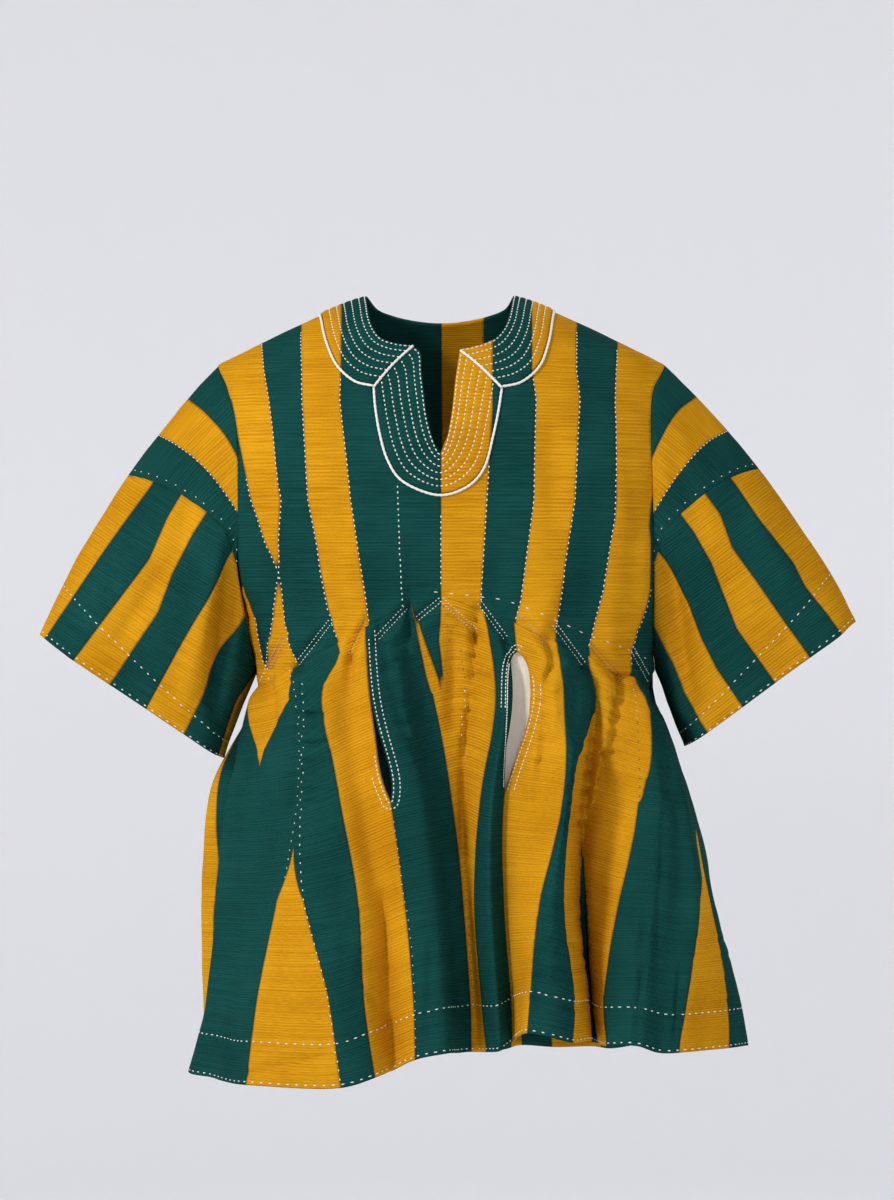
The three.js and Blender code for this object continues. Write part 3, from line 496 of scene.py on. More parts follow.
CREASES_SLEEVES = [
    Crease(-206, -240, -226, -430, 9, -7),
    Crease(224, -240, 250, -420, 9, -7),
    Crease(-222, -255, -262, -430, 8, 4),
    Crease(238, -255, 284, -420, 8, 4),
    Crease(-236, -150, -262, -250, 9, -3),
    Crease(-262, -250, -330, -350, 8, -3),
    Crease(-215, -220, -246, -350, 8, 3),
    Crease(-300, -190, -350, -300, 9, 3),
    Crease(-205, -310, -232, -410, 6, -3),
    Crease(232, -150, 262, -240, 9, -3),
    Crease(262, -240, 318, -350, 8, -3),
    Crease(222, -220, 262, -350, 8, 3),
    Crease(300, -185, 352, -290, 9, 3),
    Crease(218, -300, 262, -420, 6, -3),
]

# The outsides of the finished pieces, on which cord and thread are laid
SURFACES = {}


# Forms

def lerp(a, b, t):
    return a + (b - a) * t


def clamp(value, low, high):
    return max(low, min(high, value))


def hermite(a, b, slope_a, slope_b, t):
    """A smooth way from a to b that leaves and arrives with the given slopes."""
    u = 1 - t
    return a * u * u * (1 + 2 * t) + b * t * t * (3 - 2 * t) + slope_a * t * u * u - slope_b * t * t * u


def read(levels, values, z):
    """A column of values read at any level, on a smooth curve."""
    last = len(levels) - 1
    k = 0
    while k < last - 1 and z > levels[k + 1]:
        k += 1

    def rise(i):
        low, high = max(i - 1, 0), min(i + 1, last)
        return (values[high] - values[low]) / (levels[high] - levels[low])

    span = levels[k + 1] - levels[k]
    t = clamp((z - levels[k]) / span, 0, 1)
    return hermite(values[k], values[k + 1], rise(k) * span, rise(k + 1) * span, t)


def column(rows, name):
    """The levels of a table and one of its columns."""
    return [row.z for row in rows], [getattr(row, name) for row in rows]


BODY_COLUMNS = {name: column(BODY, name) for name in ("left", "right", "front", "back")}
ARMHOLE_COLUMN = column(ARMHOLE, "share")


def half_width(z, x):
    """The bodice's half width at a height, on the side that x is on."""
    return read(*BODY_COLUMNS["left" if x < 0 else "right"], z)


def ridge_z(share):
    """The height of the shoulder line at a share of the half width."""
    past = abs(share) - NECK_SHARE
    return NECK_RISE - SHOULDER_DROP * (past + math.hypot(past, SHOULDER_SOFTNESS)) / 2


def waist_z(share):
    """The height of the arched waist at a share of the half width."""
    arch = math.hypot(share, WAIST_SOFTNESS) - WAIST_SOFTNESS
    return WAIST_MID_Z - WAIST_SIDE_DROP * arch / (math.hypot(1, WAIST_SOFTNESS) - WAIST_SOFTNESS)


def drape_out(share, z, face):
    """How far the soft folds of the bodice stand out."""
    out = 0
    for fold in DRAPES:
        if fold.face == face and z < fold.start:
            fall = clamp((fold.start - z) / (fold.start - DRAPE_END), 0, 1)
            across = (share - fold.share - fold.lean * fall) / fold.width
            out += fold.out * fall * fall * (3 - 2 * fall) * math.exp(-across * across)
    return out


def depth_at(share, z, face):
    """How far the front or the back lies from the shoulder line, less towards the armholes."""
    armhole = clamp(read(*ARMHOLE_COLUMN, z), 0, 1)
    roll = max(0, 1 - (1 - armhole * armhole) * abs(share) ** 3)
    depth = read(*BODY_COLUMNS["front" if face < 0 else "back"], z) * math.sqrt(roll)
    return depth + drape_out(share, z, face) * (1 - share ** 6)


def body_at(share, z, face):
    """The bodice's outside at a share of the half width and a height; face is -1 in front and 1 behind."""
    climb = clamp((z - CHEST_Z) / (ridge_z(share) - CHEST_Z), 0, 1)
    depth = depth_at(share, z, face) * math.sqrt(1 - climb * climb)
    return Vector((share * half_width(z, share), RIDGE_Y + face * depth, z))


def over_shoulder(share, turn):
    """The same by its turn: 0 at the chest in front, a right angle on the shoulder line, then the back."""
    z = CHEST_Z + (ridge_z(share) - CHEST_Z) * math.sin(turn)
    face = -1 if math.cos(turn) >= 0 else 1
    depth = depth_at(share, z, face) * abs(math.cos(turn))
    return Vector((share * half_width(z, share), RIDGE_Y + face * depth, z))


def turn_of(share, z, face):
    """The turn at which a height is reached."""
    turn = math.asin(clamp((z - CHEST_Z) / (ridge_z(share) - CHEST_Z), -0.5, 1))
    return turn if face < 0 else math.pi - turn


def off_shoulder(share, turn, lift):
    """A place lifted square off the bodice."""
    step = 0.01
    across = over_shoulder(share + step, turn) - over_shoulder(share - step, turn)
    over = over_shoulder(share, turn + step) - over_shoulder(share, turn - step)
    return over_shoulder(share, turn) + across.cross(over).normalized() * lift


NECK_SHARES = {
    -1: [(x / half_width(z, x), z) for x, z in NECK_FRONT],
    1: [(x / half_width(z, x), z) for x, z in NECK_BACK],
}


def top_z(share, face):
    """Where the bodice ends: at the neck's edge or on the shoulder line."""
    edge = NECK_SHARES[face]
    if share <= edge[0][0] or share >= edge[-1][0]:
        return ridge_z(share)
    k = next(i for i in range(len(edge) - 1) if share <= edge[i + 1][0])
    t = (share - edge[k][0]) / (edge[k + 1][0] - edge[k][0])
    return min(lerp(edge[k][1], edge[k + 1][1], t), ridge_z(share))


def bodice_point(share, row, face):
    """A point of the bodice by its row: straight from the waist to the chest, then by turning angle."""
    if row <= CHEST_ROW:
        k = min(int(row), CHEST_ROW - 1)
        t = lerp(LOWER_ROWS[k], LOWER_ROWS[k + 1], row - k)
        return body_at(share, lerp(waist_z(share), CHEST_Z, t), face)
    ridge = ridge_z(share) - CHEST_Z
    end = math.asin(clamp((top_z(share, face) - CHEST_Z) / ridge, 0, 1))
    return body_at(share, CHEST_Z + ridge * math.sin(end * (row - CHEST_ROW) / UPPER_ROWS), face)


def armhole_point(side, step):
    """A point of the armhole, by steps from the shoulder down the front and up the back."""
    front = step <= ARM_STEPS
    return bodice_point(side, TOP_ROW - (step if front else ARM_RING - step), -1 if front else 1)


def cuff_angle(side, step):
    """How far round the cuff a step of the armhole leads."""
    top = armhole_point(side, 0).z
    share = (top - armhole_point(side, step).z) / (top - armhole_point(side, ARM_STEPS).z)
    angle = math.acos(1 - 2 * clamp(share, 0, 1) ** CUFF_LAG)
    return angle if step <= ARM_STEPS else 2 * math.pi - angle


def cuff_point(sleeve, angle):
    """A point of the squared cuff, from its top round the front."""
    down = (1 - math.cos(angle)) / 2
    depth = math.copysign(abs(math.sin(angle)) ** CUFF_SQUARENESS, math.sin(angle))
    x = lerp(sleeve.top_x, sleeve.low_x, down)
    return Vector((x, CUFF_Y - CUFF_HALF_DEPTH * depth, lerp(sleeve.top_z, sleeve.low_z, down)))


def sleeve_point(sleeve, step, along):
    """A point of the sleeve by its step round the arm and its share of the way from armhole to cuff."""
    angle = cuff_angle(sleeve.side, step)
    point = armhole_point(sleeve.side, step).lerp(cuff_point(sleeve, angle), along)
    swell = 4 * along * (1 - along)
    crown = SLEEVE_CROWN * swell * (1 + math.cos(angle)) / 2
    arm = (cuff_point(sleeve, 0) - armhole_point(sleeve.side, 0)).normalized()
    point.x += abs(arm.z) * sleeve.side * crown
    point.z += abs(arm.x) * crown
    out = SLEEVE_BELLY * swell * abs(math.sin(angle))
    for wave in SLEEVE_WAVES:
        out += wave.low * math.exp(-(((angle / (2 * math.pi) - wave.turn) / wave.width) ** 2)) * along
    point.y += -out if step <= ARM_STEPS else out
    return point


def cross_seam(step):
    """The share of the arm at which the cap ends and the lower sleeve starts."""
    steps = min(step, ARM_RING - step)
    return CAP_TOP * max(0, 1 - (steps / CAP_COLUMNS) ** 2)


def nearness(y):
    """How much further off than the shoulders a place lies, as a factor."""
    return 1 + y / EYE_AWAY


def seen(point):
    """Where the eye sees a point, as x and z in the plane of the shoulders."""
    near = nearness(point.y)
    return EYE_X + (point.x - EYE_X) / near, EYE_Z + (point.z - EYE_Z) / near


def skirt_line(line, face):
    """Where a line leaves the waist, and the levels that it is seen to pass, from the foot up."""
    half = half_width(WAIST_WIDTH_Z, line.waist)
    first = body_at(clamp(line.waist / half, -1, 1), waist_z(line.waist / half), face)
    share = clamp((EYE_X + (line.waist - EYE_X) * nearness(first.y)) / half, -1, 1)
    top = body_at(share, waist_z(share), face)
    waist_x, waist_level = seen(top)
    passed = [(z, x) for z, x in zip(LEVELS, (line.a, line.b, line.c, line.d)) if x is not None]
    places = [(line.foot, line.hem)] + passed[::-1] + [(waist_level, waist_x)]
    return line, top, waist_level, [z for z, _ in places], [x for _, x in places]


LINES = [skirt_line(line, face) for line, face in RING]


def skirt_ring(down):
    """The skirt's lines at a share of the way down, as a ring of points with the distances between them."""
    points = []
    for line, top, waist_level, levels, places in LINES:
        start = clamp(down / WAIST_ROLL, 0, 1)
        rolled = WAIST_START + (1 - WAIST_START) * start * start * (3 - 2 * start)
        y = lerp(top.y, line.out, down ** FOLD_EASE * rolled)
        z = lerp(waist_level, line.foot, down)
        near = nearness(y)
        x = EYE_X + (read(levels, places, z) - EYE_X) * near
        points.append(Vector((x, y, EYE_Z + (z - EYE_Z) * near)))
    gaps = [math.sqrt((p - points[(i + 1) % len(points)]).length) for i, p in enumerate(points)]
    return points, gaps


def skirt_point(ring, at):
    """A point of a ring, on a smooth closed curve through its lines."""
    points, gaps = ring
    n = len(points)
    k = int(at) % n

    def slope(i):
        before = (i - 1) % n
        fore = (points[(i + 1) % n] - points[i]) / gaps[i]
        aft = (points[i] - points[before]) / gaps[before]
        return (fore * gaps[before] + aft * gaps[i]) / (gaps[before] + gaps[i])

    t = at - int(at)
    after = (k + 1) % n
    return Vector(
        hermite(points[k][i], points[after][i], slope(k)[i] * gaps[k], slope(after)[i] * gaps[k], t)
        for i in range(3)
    )


def slit_gap(slit, down):
    """How wide a slit stands open at a share of the way down."""
    t = clamp((down - slit.top) / (slit.foot - slit.top), 0, 1)
    return slit.gap * math.sin(math.pi * t ** (math.log(0.5) / math.log(slit.widest)))


def band_depth(band, level, place, scale):
    """How far a place lies inside a gold band, in millimetres; it is less than nothing outside."""
    past = max(0, level - band[0][0], band[-1][0] - level)
    level = clamp(level, band[-1][0], band[0][0])
    for upper, lower in zip(band, band[1:]):
        if level >= lower[0]:
            t = (level - lower[0]) / (upper[0] - lower[0])
            left, right = lerp(lower[1], upper[1], t), lerp(lower[2], upper[2], t)
            return min(place - left, right - place) * scale - past
    return -past


def gold_depth(bands, level, place, scale=1):
    """How far a place lies inside the nearest gold band, up to a limit."""
    return clamp(max(band_depth(band, level, place, scale) for band in bands), -BAND_FAR, BAND_FAR)


def crease_fade(along, length):
    """A crease's share of its depth along its run; a short one keeps some of it at its ends."""
    t = clamp(along / length, 0, 1)
    if length > LONG_CREASE:
        return math.sqrt(4 * t * (1 - t))
    return math.sin(math.pi * (0.12 + 0.76 * t))


def crease_out(creases, x, z):
    """How far the creases push the cloth out at a place."""
    out = 0
    for crease in creases:
        run_x, run_z = crease.x1 - crease.x0, crease.z1 - crease.z0
        length = math.hypot(run_x, run_z)
        along = ((x - crease.x0) * run_x + (z - crease.z0) * run_z) / length
        if not -CREASE_END < along < length + CREASE_END:
            continue
        across = ((x - crease.x0) * run_z - (z - crease.z0) * run_x) / length / crease.width
        if abs(across) < CREASE_REACH:
            gain = TROUGH_GAIN if crease.out < 0 else RIDGE_GAIN
            out += crease.out * gain * crease_fade(along, length) * math.exp(-across * across)
    return out


def tack_creases():
    """A trough under every tacked fold, a soft roll below it and a pinch at its low end."""
    creases = []
    for x0, z0, x1, z1, _ in TACKS:
        lean = math.copysign(1, x1 - x0)
        creases.append(Crease(x0, z0, x1, z1, 3.6, -2.8))
        creases.append(Crease(x0 + 3 * lean, z0 + 7, x1 + 6 * lean, z1 + 9, 5, 2))
        creases.append(Crease(x0 - 2 * lean, z0 - 13, x1 - 6 * lean, z1 - 12, 6, 3.4))
        creases.append(Crease(x1 - lean, z1 + 6, x1 + 2 * lean, z1 - 14, 3.6, -3.6))
    return creases


def pucker_creases():
    """Short wrinkles where a seam is drawn up by its thread."""
    creases = []
    for x0, z0, x1, z1, run, count, depth in PUCKERS:
        for i in range(count):
            t = (i + 0.35 * math.sin(i * 2.1)) / count
            x, z = lerp(x0, x1, t), lerp(z0, z1, t)
            length = run * (0.8 + 0.3 * math.sin(i * 1.7))
            tilt = length * 0.12 * math.sin(i * 2.6)
            creases.append(Crease(x, z, x + length, z + tilt, 2.6, -depth))
            creases.append(Crease(x, z + 4.5, x + length * 0.7, z + 4.5 + tilt, 3, depth * 0.6))
    return creases


def refined(places, most):
    """The same places with others between them, none further apart than the most."""
    fine = [places[0]]
    for a, b in zip(places, places[1:]):
        parts = max(1, math.ceil((b - a) / most))
        fine += [lerp(a, b, (i + 1) / parts) for i in range(parts)]
    return fine


def rows_between(count, parts):
    """The shares from 0 to the count, each one cut into parts."""
    return [i / parts for i in range(count * parts + 1)]


# Materials

class Wire:
    """A node's output that can stand in Python sums."""

    def __init__(self, socket):
        self.socket = socket
        self.tree = socket.node.id_data

    def maths(self, operation, *values):
        """A Math node on the values given, or on this one alone."""
        sockets = dict(enumerate(values or [self]))
        return add_node(self.tree, "ShaderNodeMath", {"operation": operation}, sockets)

    def __add__(self, other):
        return self.maths("ADD", self, other)

    def __radd__(self, other):
        return self.maths("ADD", other, self)

    def __mul__(self, other):
        return self.maths("MULTIPLY", self, other)

    def __rmul__(self, other):
        return self.maths("MULTIPLY", other, self)

    def __sub__(self, other):
        return self.maths("SUBTRACT", self, other)

    def __rsub__(self, other):
        return self.maths("SUBTRACT", other, self)

    def eased(self, low, high):
        """0 below the low value and 1 above the high one, smooth between."""
        sockets = {0: self, 1: low, 2: high, 3: 0.0, 4: 1.0}
        return add_node(self.tree, "ShaderNodeMapRange", {"interpolation_type": "SMOOTHSTEP"}, sockets)


def socket_of(sockets, key):
    """A socket by its number, or by its identifier or name."""
    if isinstance(key, int):
        return sockets[key]
    return next(s for s in sockets if key in (s.identifier, s.name))


def connect(tree, value, socket):
    if isinstance(value, Wire):
        tree.links.new(value.socket, socket)
    elif value is not None:
        socket.default_value = value


def add_node(tree, kind, settings, sockets, out=0):
    """Adds a node: its settings first, then the value or link of each socket; gives one of its outputs."""
    node = tree.nodes.new(kind)
    for name, value in settings.items():
        setattr(node, name, value)
    for key, value in sockets.items():
        connect(tree, value, socket_of(node.inputs, key))
    return Wire(socket_of(node.outputs, out))


def mixed(tree, factor, first, second):
    """Two colours mixed by a factor."""
    sockets = {"Factor_Float": factor, "A_Color": first, "B_Color": second}
    return add_node(tree, "ShaderNodeMix", {"data_type": "RGBA"}, sockets, "Result_Color")


def attribute(tree, name):
    return add_node(tree, "ShaderNodeAttribute", {"attribute_name": name}, {}, "Fac")


def combined(tree, x, y, z=0.0):
    return add_node(tree, "ShaderNodeCombineXYZ", {}, {0: x, 1: y, 2: z})


def noise(tree, vector, scale, detail):
    sockets = {"Vector": vector, "Scale": scale, "Detail": detail}
    return add_node(tree, "ShaderNodeTexNoise", {}, sockets, "Fac")


def object_coordinates(tree):
    return add_node(tree, "ShaderNodeTexCoord", {}, {}, "Object")


def bumped(tree, height, strength, distance):
    sockets = {"Strength": strength, "Distance": distance, "Height": height}
    return add_node(tree, "ShaderNodeBump", {}, sockets, "Normal")


def new_material(name, roughness, specular, sheen=0.0):
    """A material with its nodes and its Principled shader."""
    material = bpy.data.materials.new(name)
    material.use_nodes = True
    tree = material.node_tree
    shader = tree.nodes["Principled BSDF"]
    shader.inputs["Roughness"].default_value = roughness
    shader.inputs["Specular IOR Level"].default_value = specular
    shader.inputs["Sheen Weight"].default_value = sheen
    shader.inputs["Sheen Roughness"].default_value = 0.6
    return material, tree, shader


# Painted shade: the dark colour that the cloth is mixed towards along the seams between strips
SEAM_PAINTED_SHADE = (0.02, 0.02, 0.012, 1)


def woven_cloth(settings):
    """Hand-woven strips: green and gold by the band depth, with picks running across each strip and painted
    shade along the seams.
    """
    material, tree, shader = new_material("woven_stripes", 0.95, 0.02)
    place = object_coordinates(tree)
    across = attribute(tree, "across")
    along = attribute(tree, "along")
    depth = attribute(tree, "gold")
    gold = depth.eased(-0.4, 0.4)
    seam = 1.0 - depth.maths("ABSOLUTE").eased(0.2, 1.9)
    wander = noise(tree, place, 60.0, 2.0) * 2.6
    pick = combined(tree, across * 0.02, along * 0.55)
    streaks = noise(tree, pick, 1.0, 3.0)
    fibres = noise(tree, combined(tree, across * 0.7, along * 1.4), 1.0, 2.0)
    patches = noise(tree, place, 14.0, 2.0)
    rib = ((along + wander) * (2 * math.pi / (settings.rib_pitch / MM))).maths("SINE") * 0.5 + 0.5
    tone = (streaks * 0.9 + fibres * 0.7 + patches * 0.7 + rib * 0.22 - 0.76).eased(0.0, 1.0)
    green = mixed(tree, tone, tuple(settings.green_dark), tuple(settings.green_light))
    yellow = mixed(tree, tone, tuple(settings.gold_dark), tuple(settings.gold_light))
    colour = mixed(tree, gold, green, yellow)
    # Painted shade: near each seam between strips the colour is darkened, as if the seam lay in shadow
    connect(tree, mixed(tree, seam * 0.45, colour, SEAM_PAINTED_SHADE), shader.inputs["Base Color"])
    pucker = (along * 0.55 + wander * 2.0).maths("SINE") * seam
    height = rib * 0.7 + fibres * 0.6 + streaks * 0.5 - seam * 1.0 + pucker * 0.5
    connect(tree, bumped(tree, height, 0.6, 0.0009), shader.inputs["Normal"])
    return material


def plain_cotton(settings, name, light, dark, scale, roughness=0.85):
    """Undyed cotton with a fine grain; where the shade attribute is 1 it is brown."""
    material, tree, shader = new_material(name, roughness, 0.15, 0.1)
    grain = noise(tree, object_coordinates(tree), scale, 3.0)
    undyed = mixed(tree, grain.eased(0.3, 0.7), tuple(dark), tuple(light))
    colour = mixed(tree, attribute(tree, "shade"), undyed, tuple(settings.thread_brown))
    connect(tree, colour, shader.inputs["Base Color"])
    connect(tree, bumped(tree, grain, 0.3, 0.0004), shader.inputs["Normal"])
    return material


def material_of(settings, name):
    """A material made once and shared by every piece that uses it."""
    if name not in bpy.data.materials:
        if name == "woven_stripes":
            woven_cloth(settings)
        elif name == "bag_calico":
            plain_cotton(settings, name, settings.calico_light, settings.calico_dark, 900)
        elif name == "sewing_thread":
            plain_cotton(settings, name, settings.thread_light, settings.thread_dark, 1500, 0.7)
        elif name == "pale_floor":
            shader = new_material(name, 0.95, 0.0)[2]
            shader.inputs["Base Color"].default_value = (0.785, 0.785, 0.8, 1)
            shader.inputs["Emission Color"].default_value = (0.94, 0.95, 1.0, 1)
            shader.inputs["Emission Strength"].default_value = 0.19
    return bpy.data.materials[name]


# Meshes

def cloth_grid(columns, rows, place, facts, turned=False, missing=None):
    """A grid of cells put where place(column, row) says; facts gives gold depth, across and along there."""
    bm = bmesh.new()
    bmesh.ops.create_grid(bm, x_segments=columns - 1, y_segments=rows - 1, size=1)
    layers = [bm.verts.layers.float.new(name) for name in ("gold", "across", "along")]
    cells = {}
    for vert in bm.verts:
        c = round((vert.co.x + 1) / 2 * (columns - 1))
        r = round((vert.co.y + 1) / 2 * (rows - 1))
        cells[vert] = (c, r)
        point = place(c, r)
        for layer, value in zip(layers, facts(c, r, point)):
            vert[layer] = value
        vert.co = point * MM
    if missing:
        corners = {f: [min(cells[v][i] for v in f.verts) for i in (0, 1)] for f in bm.faces}
        gone = [f for f in bm.faces if missing(*corners[f])]
        bmesh.ops.delete(bm, geom=gone, context="FACES")
    if turned:
        bmesh.ops.reverse_faces(bm, faces=bm.faces)
    return bm


ARM_MIDDLE = 290
SIDEWAYS = 0.3


def sewn_up(bm):
    """Joins the grid's edges where they meet."""
    bmesh.ops.remove_doubles(bm, verts=bm.verts, dist=0.02 * MM)
    bmesh.ops.dissolve_degenerate(bm, edges=bm.edges, dist=0.01 * MM)


def pressed(bm, out_at, middle=0):
    """Moves every point away from the body's middle, or an arm's, by what out_at says in millimetres."""
    for vert in bm.verts:
        away = Vector(((vert.co.x - middle * MM) * SIDEWAYS, vert.co.y, 0)).normalized()
        vert.co += away * out_at(vert.co / MM) * MM


def as_object(settings, bm, name, material, wall=None, node=None):
    """Makes the bmesh an object that rides on the root and takes a node's place."""
    bm.normal_update()
    SURFACES[name] = BVHTree.FromBMesh(bm)
    for face in bm.faces:
        face.smooth = True
    mesh = bpy.data.meshes.new(name)
    bm.to_mesh(mesh)
    bm.free()
    mesh.materials.append(material_of(settings, material))
    piece = bpy.data.objects.new(name, mesh)
    bpy.context.scene.collection.objects.link(piece)
    if wall:
        shell = piece.modifiers.new("cloth", "SOLIDIFY")
        shell.thickness = wall
        shell.offset = -1
        shell.use_quality_normals = True
    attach(piece, "root")
    if node:
        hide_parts(node)
    return piece


def striped_piece(settings, bm, name, out_at, middle=0):
    """Sews a grid up, presses its creases in and makes it the named piece of striped cloth."""
    sewn_up(bm)
    pressed(bm, out_at, middle)
    return as_object(settings, bm, name, "woven_stripes", settings.cloth_wall, name)


LOOSE_FROM = -240
LOOSE_RUN = 120


def uneven(point):
    """The slight unevenness of hand-woven cloth, larger below the waist."""
    loose = clamp((LOOSE_FROM - point.z) / LOOSE_RUN, 0, 1)
    broad = noise_at(Vector((point.x * 0.022, point.y * 0.022, point.z * 0.012)))
    small = noise_at(Vector((point.x * 0.06, point.y * 0.06 + 9, point.z * 0.035)))
    return broad * lerp(1.4, 3.0, loose) + small * lerp(0.5, 1.1, loose)


def front_out(point):
    """How far the front's creases and unevenness push a point out."""
    x, z = seen(point)
    return crease_out(FRONT_CREASES, x, z) + uneven(point)


def back_out(point):
    """The same behind."""
    return crease_out(CREASES_BACK, point.x, point.z) + uneven(point)


def sleeve_out(point):
    """The same on the sleeves."""
    x, z = seen(point)
    return crease_out(CREASES_SLEEVES, x, z) + uneven(point)


FRONT_CREASES = CREASES_FRONT + tack_creases() + pucker_creases()
OVER_SHOULDER = 185
BODICE_STEP = 0.02
BODICE_PARTS = 5
TUCK_ROW = -0.25
TUCK = 0.8


def along_body(point):
    """How far up the strip a point of the bodice lies, over the shoulder too."""
    climb = clamp((point.z - CHEST_Z) / (NECK_RISE - CHEST_Z), 0, 1)
    return point.z if climb == 0 else CHEST_Z + OVER_SHOULDER * math.asin(climb)


def body_facts(point, face):
    """The gold depth, and the distances across and along the strip."""
    x, z = seen(point)
    if face < 0:
        return gold_depth(GOLD_FRONT, z, x), point.x, along_body(point)
    return gold_depth(GOLD_BACK, point.z, point.x), point.x, along_body(point)


def build_bodice(settings):
    """The front and the back, each a grid from the waist over the chest to the shoulder and the neck."""
    for face, name in ((-1, "bodice_front"), (1, "bodice_back")):
        neck = [share for share, _ in NECK_SHARES[face]]
        shares = refined([-s for s in OUTER_COLUMNS[::-1]] + neck + OUTER_COLUMNS, BODICE_STEP)
        rows = [TUCK_ROW] + rows_between(TOP_ROW, BODICE_PARTS)

        def place(c, r):
            tucked = TUCK if r == 0 else 0
            return bodice_point(shares[c], rows[r], face) - Vector((0, face * tucked, 0))

        bm = cloth_grid(
            len(shares), len(rows), place, lambda c, r, point: body_facts(point, face), turned=face > 0
        )
        piece = striped_piece(settings, bm, name, front_out if face < 0 else back_out)


ARM_LENGTH = 270
CAP_PICKS = 300
STEP_LENGTH = 15
ARM_PARTS = 4
CAP_ROWS = 26
SLEEVE_ROWS = 48
CREST_START = 141
CREST_RUN = 182


def cap_gold(step, along):
    """How far a place on the cap lies inside its gold half strip, in millimetres."""
    steps = min(step, ARM_RING - step)
    edges = [top * (1 - (steps / end) ** 2) for top, end in CAP_CURVES]
    return clamp(min(along - edges[0], edges[1] - along) * ARM_LENGTH, -BAND_FAR, BAND_FAR)


def arm_place(sleeve, point):
    """How far down the arm and how far across it a point lies."""
    x, z = seen(point) if point.y < 0 else (point.x, point.z)
    x, z = x - sleeve.start[0], z - sleeve.start[1]
    return x * sleeve.along[0] + z * sleeve.along[1], x * sleeve.across[0] + z * sleeve.across[1]


def sleeve_facts(sleeve, step, point):
    """The gold depth, and the distances across and along the strip."""
    down, across = arm_place(sleeve, point)
    if step > ARM_STEPS:
        across = 2 * lerp(*sleeve.crest, (down - CREST_START) / CREST_RUN) - across
    return gold_depth(GOLD_SLEEVES[sleeve.name], -down, across), across, down


def build_sleeves(settings):
    """Each arm's cap, from the armhole to the arched cross seam, and the lower sleeve from there on."""
    for sleeve in SLEEVES:
        middle = sleeve.side * ARM_MIDDLE
        steps = [i / ARM_PARTS for i in range(-ARM_PARTS * CAP_COLUMNS, ARM_PARTS * CAP_COLUMNS + 1)]
        shares = rows_between(1, CAP_ROWS)

        def cap_place(c, r):
            step = steps[c] % ARM_RING
            return sleeve_point(sleeve, step, cross_seam(step) * shares[r])

        def cap_fact(c, r, point):
            step = steps[c] % ARM_RING
            along = cross_seam(step) * shares[r]
            return cap_gold(step, along), along * CAP_PICKS, steps[c] * STEP_LENGTH

        bm = cloth_grid(len(steps), len(shares), cap_place, cap_fact, turned=sleeve.side < 0)
        piece = striped_piece(settings, bm, "sleeve_cap_" + sleeve.name, sleeve_out, middle)

        rings = rows_between(ARM_RING, ARM_PARTS)
        rows = rows_between(1, SLEEVE_ROWS)

        def place(c, r):
            step = rings[c] % ARM_RING
            return sleeve_point(sleeve, step, lerp(cross_seam(step), 1, rows[r]))

        def fact(c, r, point):
            return sleeve_facts(sleeve, rings[c], point)

        bm = cloth_grid(len(rings), len(rows), place, fact, turned=sleeve.side < 0)
        piece = striped_piece(settings, bm, "sleeve_" + sleeve.name, sleeve_out, middle)


RINGS = {}


def ring_at(down):
    """The skirt's ring at a share of the way down, worked out once."""
    if down not in RINGS:
        RINGS[down] = skirt_ring(down)
    return RINGS[down]


def skirt_stations(start, end, parts):
    """Columns along the skirt: the line each stands at, and how far it is pulled open beside a slit."""
    stations = []
    for k in range(start, end):
        for i in range(parts):
            at = k + i / parts
            slit = next((s for s in SLITS if abs(at - s.line) < 0.5), None)
            if slit and at == slit.line:
                stations += [(at - SLIT_EDGE, slit, -0.5), (at + SLIT_EDGE, slit, 0.5)]
            elif slit:
                pull = 0.5 - abs(at - slit.line)
                stations.append((at, slit, math.copysign(pull, at - slit.line)))
            else:
                stations.append((at, None, 0))
    return stations + [(end, None, 0)]


def skirt_place(at, down, slit=None, pull=0):
    """A point of the skirt, pulled aside where a slit is open."""
    point = skirt_point(ring_at(down), at)
    if slit:
        point.x += pull * slit_gap(slit, down)
    return point


def skirt_facts(at, down, point):
    """The gold depth, and the distances across and along the strip."""
    ring = ring_at(down)
    k = int(at) % len(ring[0])
    scale = ring[1][k] ** 2
    _, level = seen(point)
    return gold_depth(GOLD_SKIRT, level, at % len(ring[0]), scale), at * STEP_LENGTH, -down * SKIRT_LENGTH


def build_skirt(settings):
    """The front and the back through the folds' lines, the front with its two slits left open."""
    rows = refined(SKIRT_ROWS[:FINE_ROWS + 1], FINE_STEP) + refined(SKIRT_ROWS[FINE_ROWS:], COARSE_STEP)[1:]
    for name, start, end in (("skirt_front", 0, FRONT_LINES), ("skirt_back", FRONT_LINES, len(RING))):
        stations = skirt_stations(start, end, SKIRT_PARTS[name])

        def place(c, r):
            at, slit, pull = stations[c]
            return skirt_place(at, rows[r], slit, pull)

        def fact(c, r, point):
            return skirt_facts(stations[c][0], rows[r], point)

        def missing(c, r):
            at, slit, pull = stations[c]
            return bool(slit) and pull == -0.5 and slit.top <= rows[r] < slit.foot - 1e-6

        bm = cloth_grid(len(stations), len(rows), place, fact, turned=True, missing=missing)
        piece = striped_piece(settings, bm, name, front_out if start == 0 else back_out)


def build_pocket(settings):
    """The bag behind the right slit, a little crumpled."""
    def place(c, r):
        across, down = c / (BAG_COLUMNS - 1), r / (BAG_ROWS - 1)
        room = BAG_ROOM * math.sin(math.pi * across) * math.sin(math.pi * down)
        fold = skirt_place(SLITS[1].line, lerp(BAG_TOP, BAG_FOOT, down))
        crumple = BAG_CRUMPLE * noise_at(Vector((c * 0.25, r * 0.12, 0)))
        return fold + Vector((lerp(-BAG_HALF, BAG_HALF, across), BAG_BEHIND + room + crumple, 0))

    bm = cloth_grid(BAG_COLUMNS, BAG_ROWS, place, lambda c, r, point: (0, point.x, point.z), turned=True)
    piece = as_object(settings, bm, "pocket_bag", "bag_calico", settings.bag_wall, "pocket_bag")


# The yoke and its cord

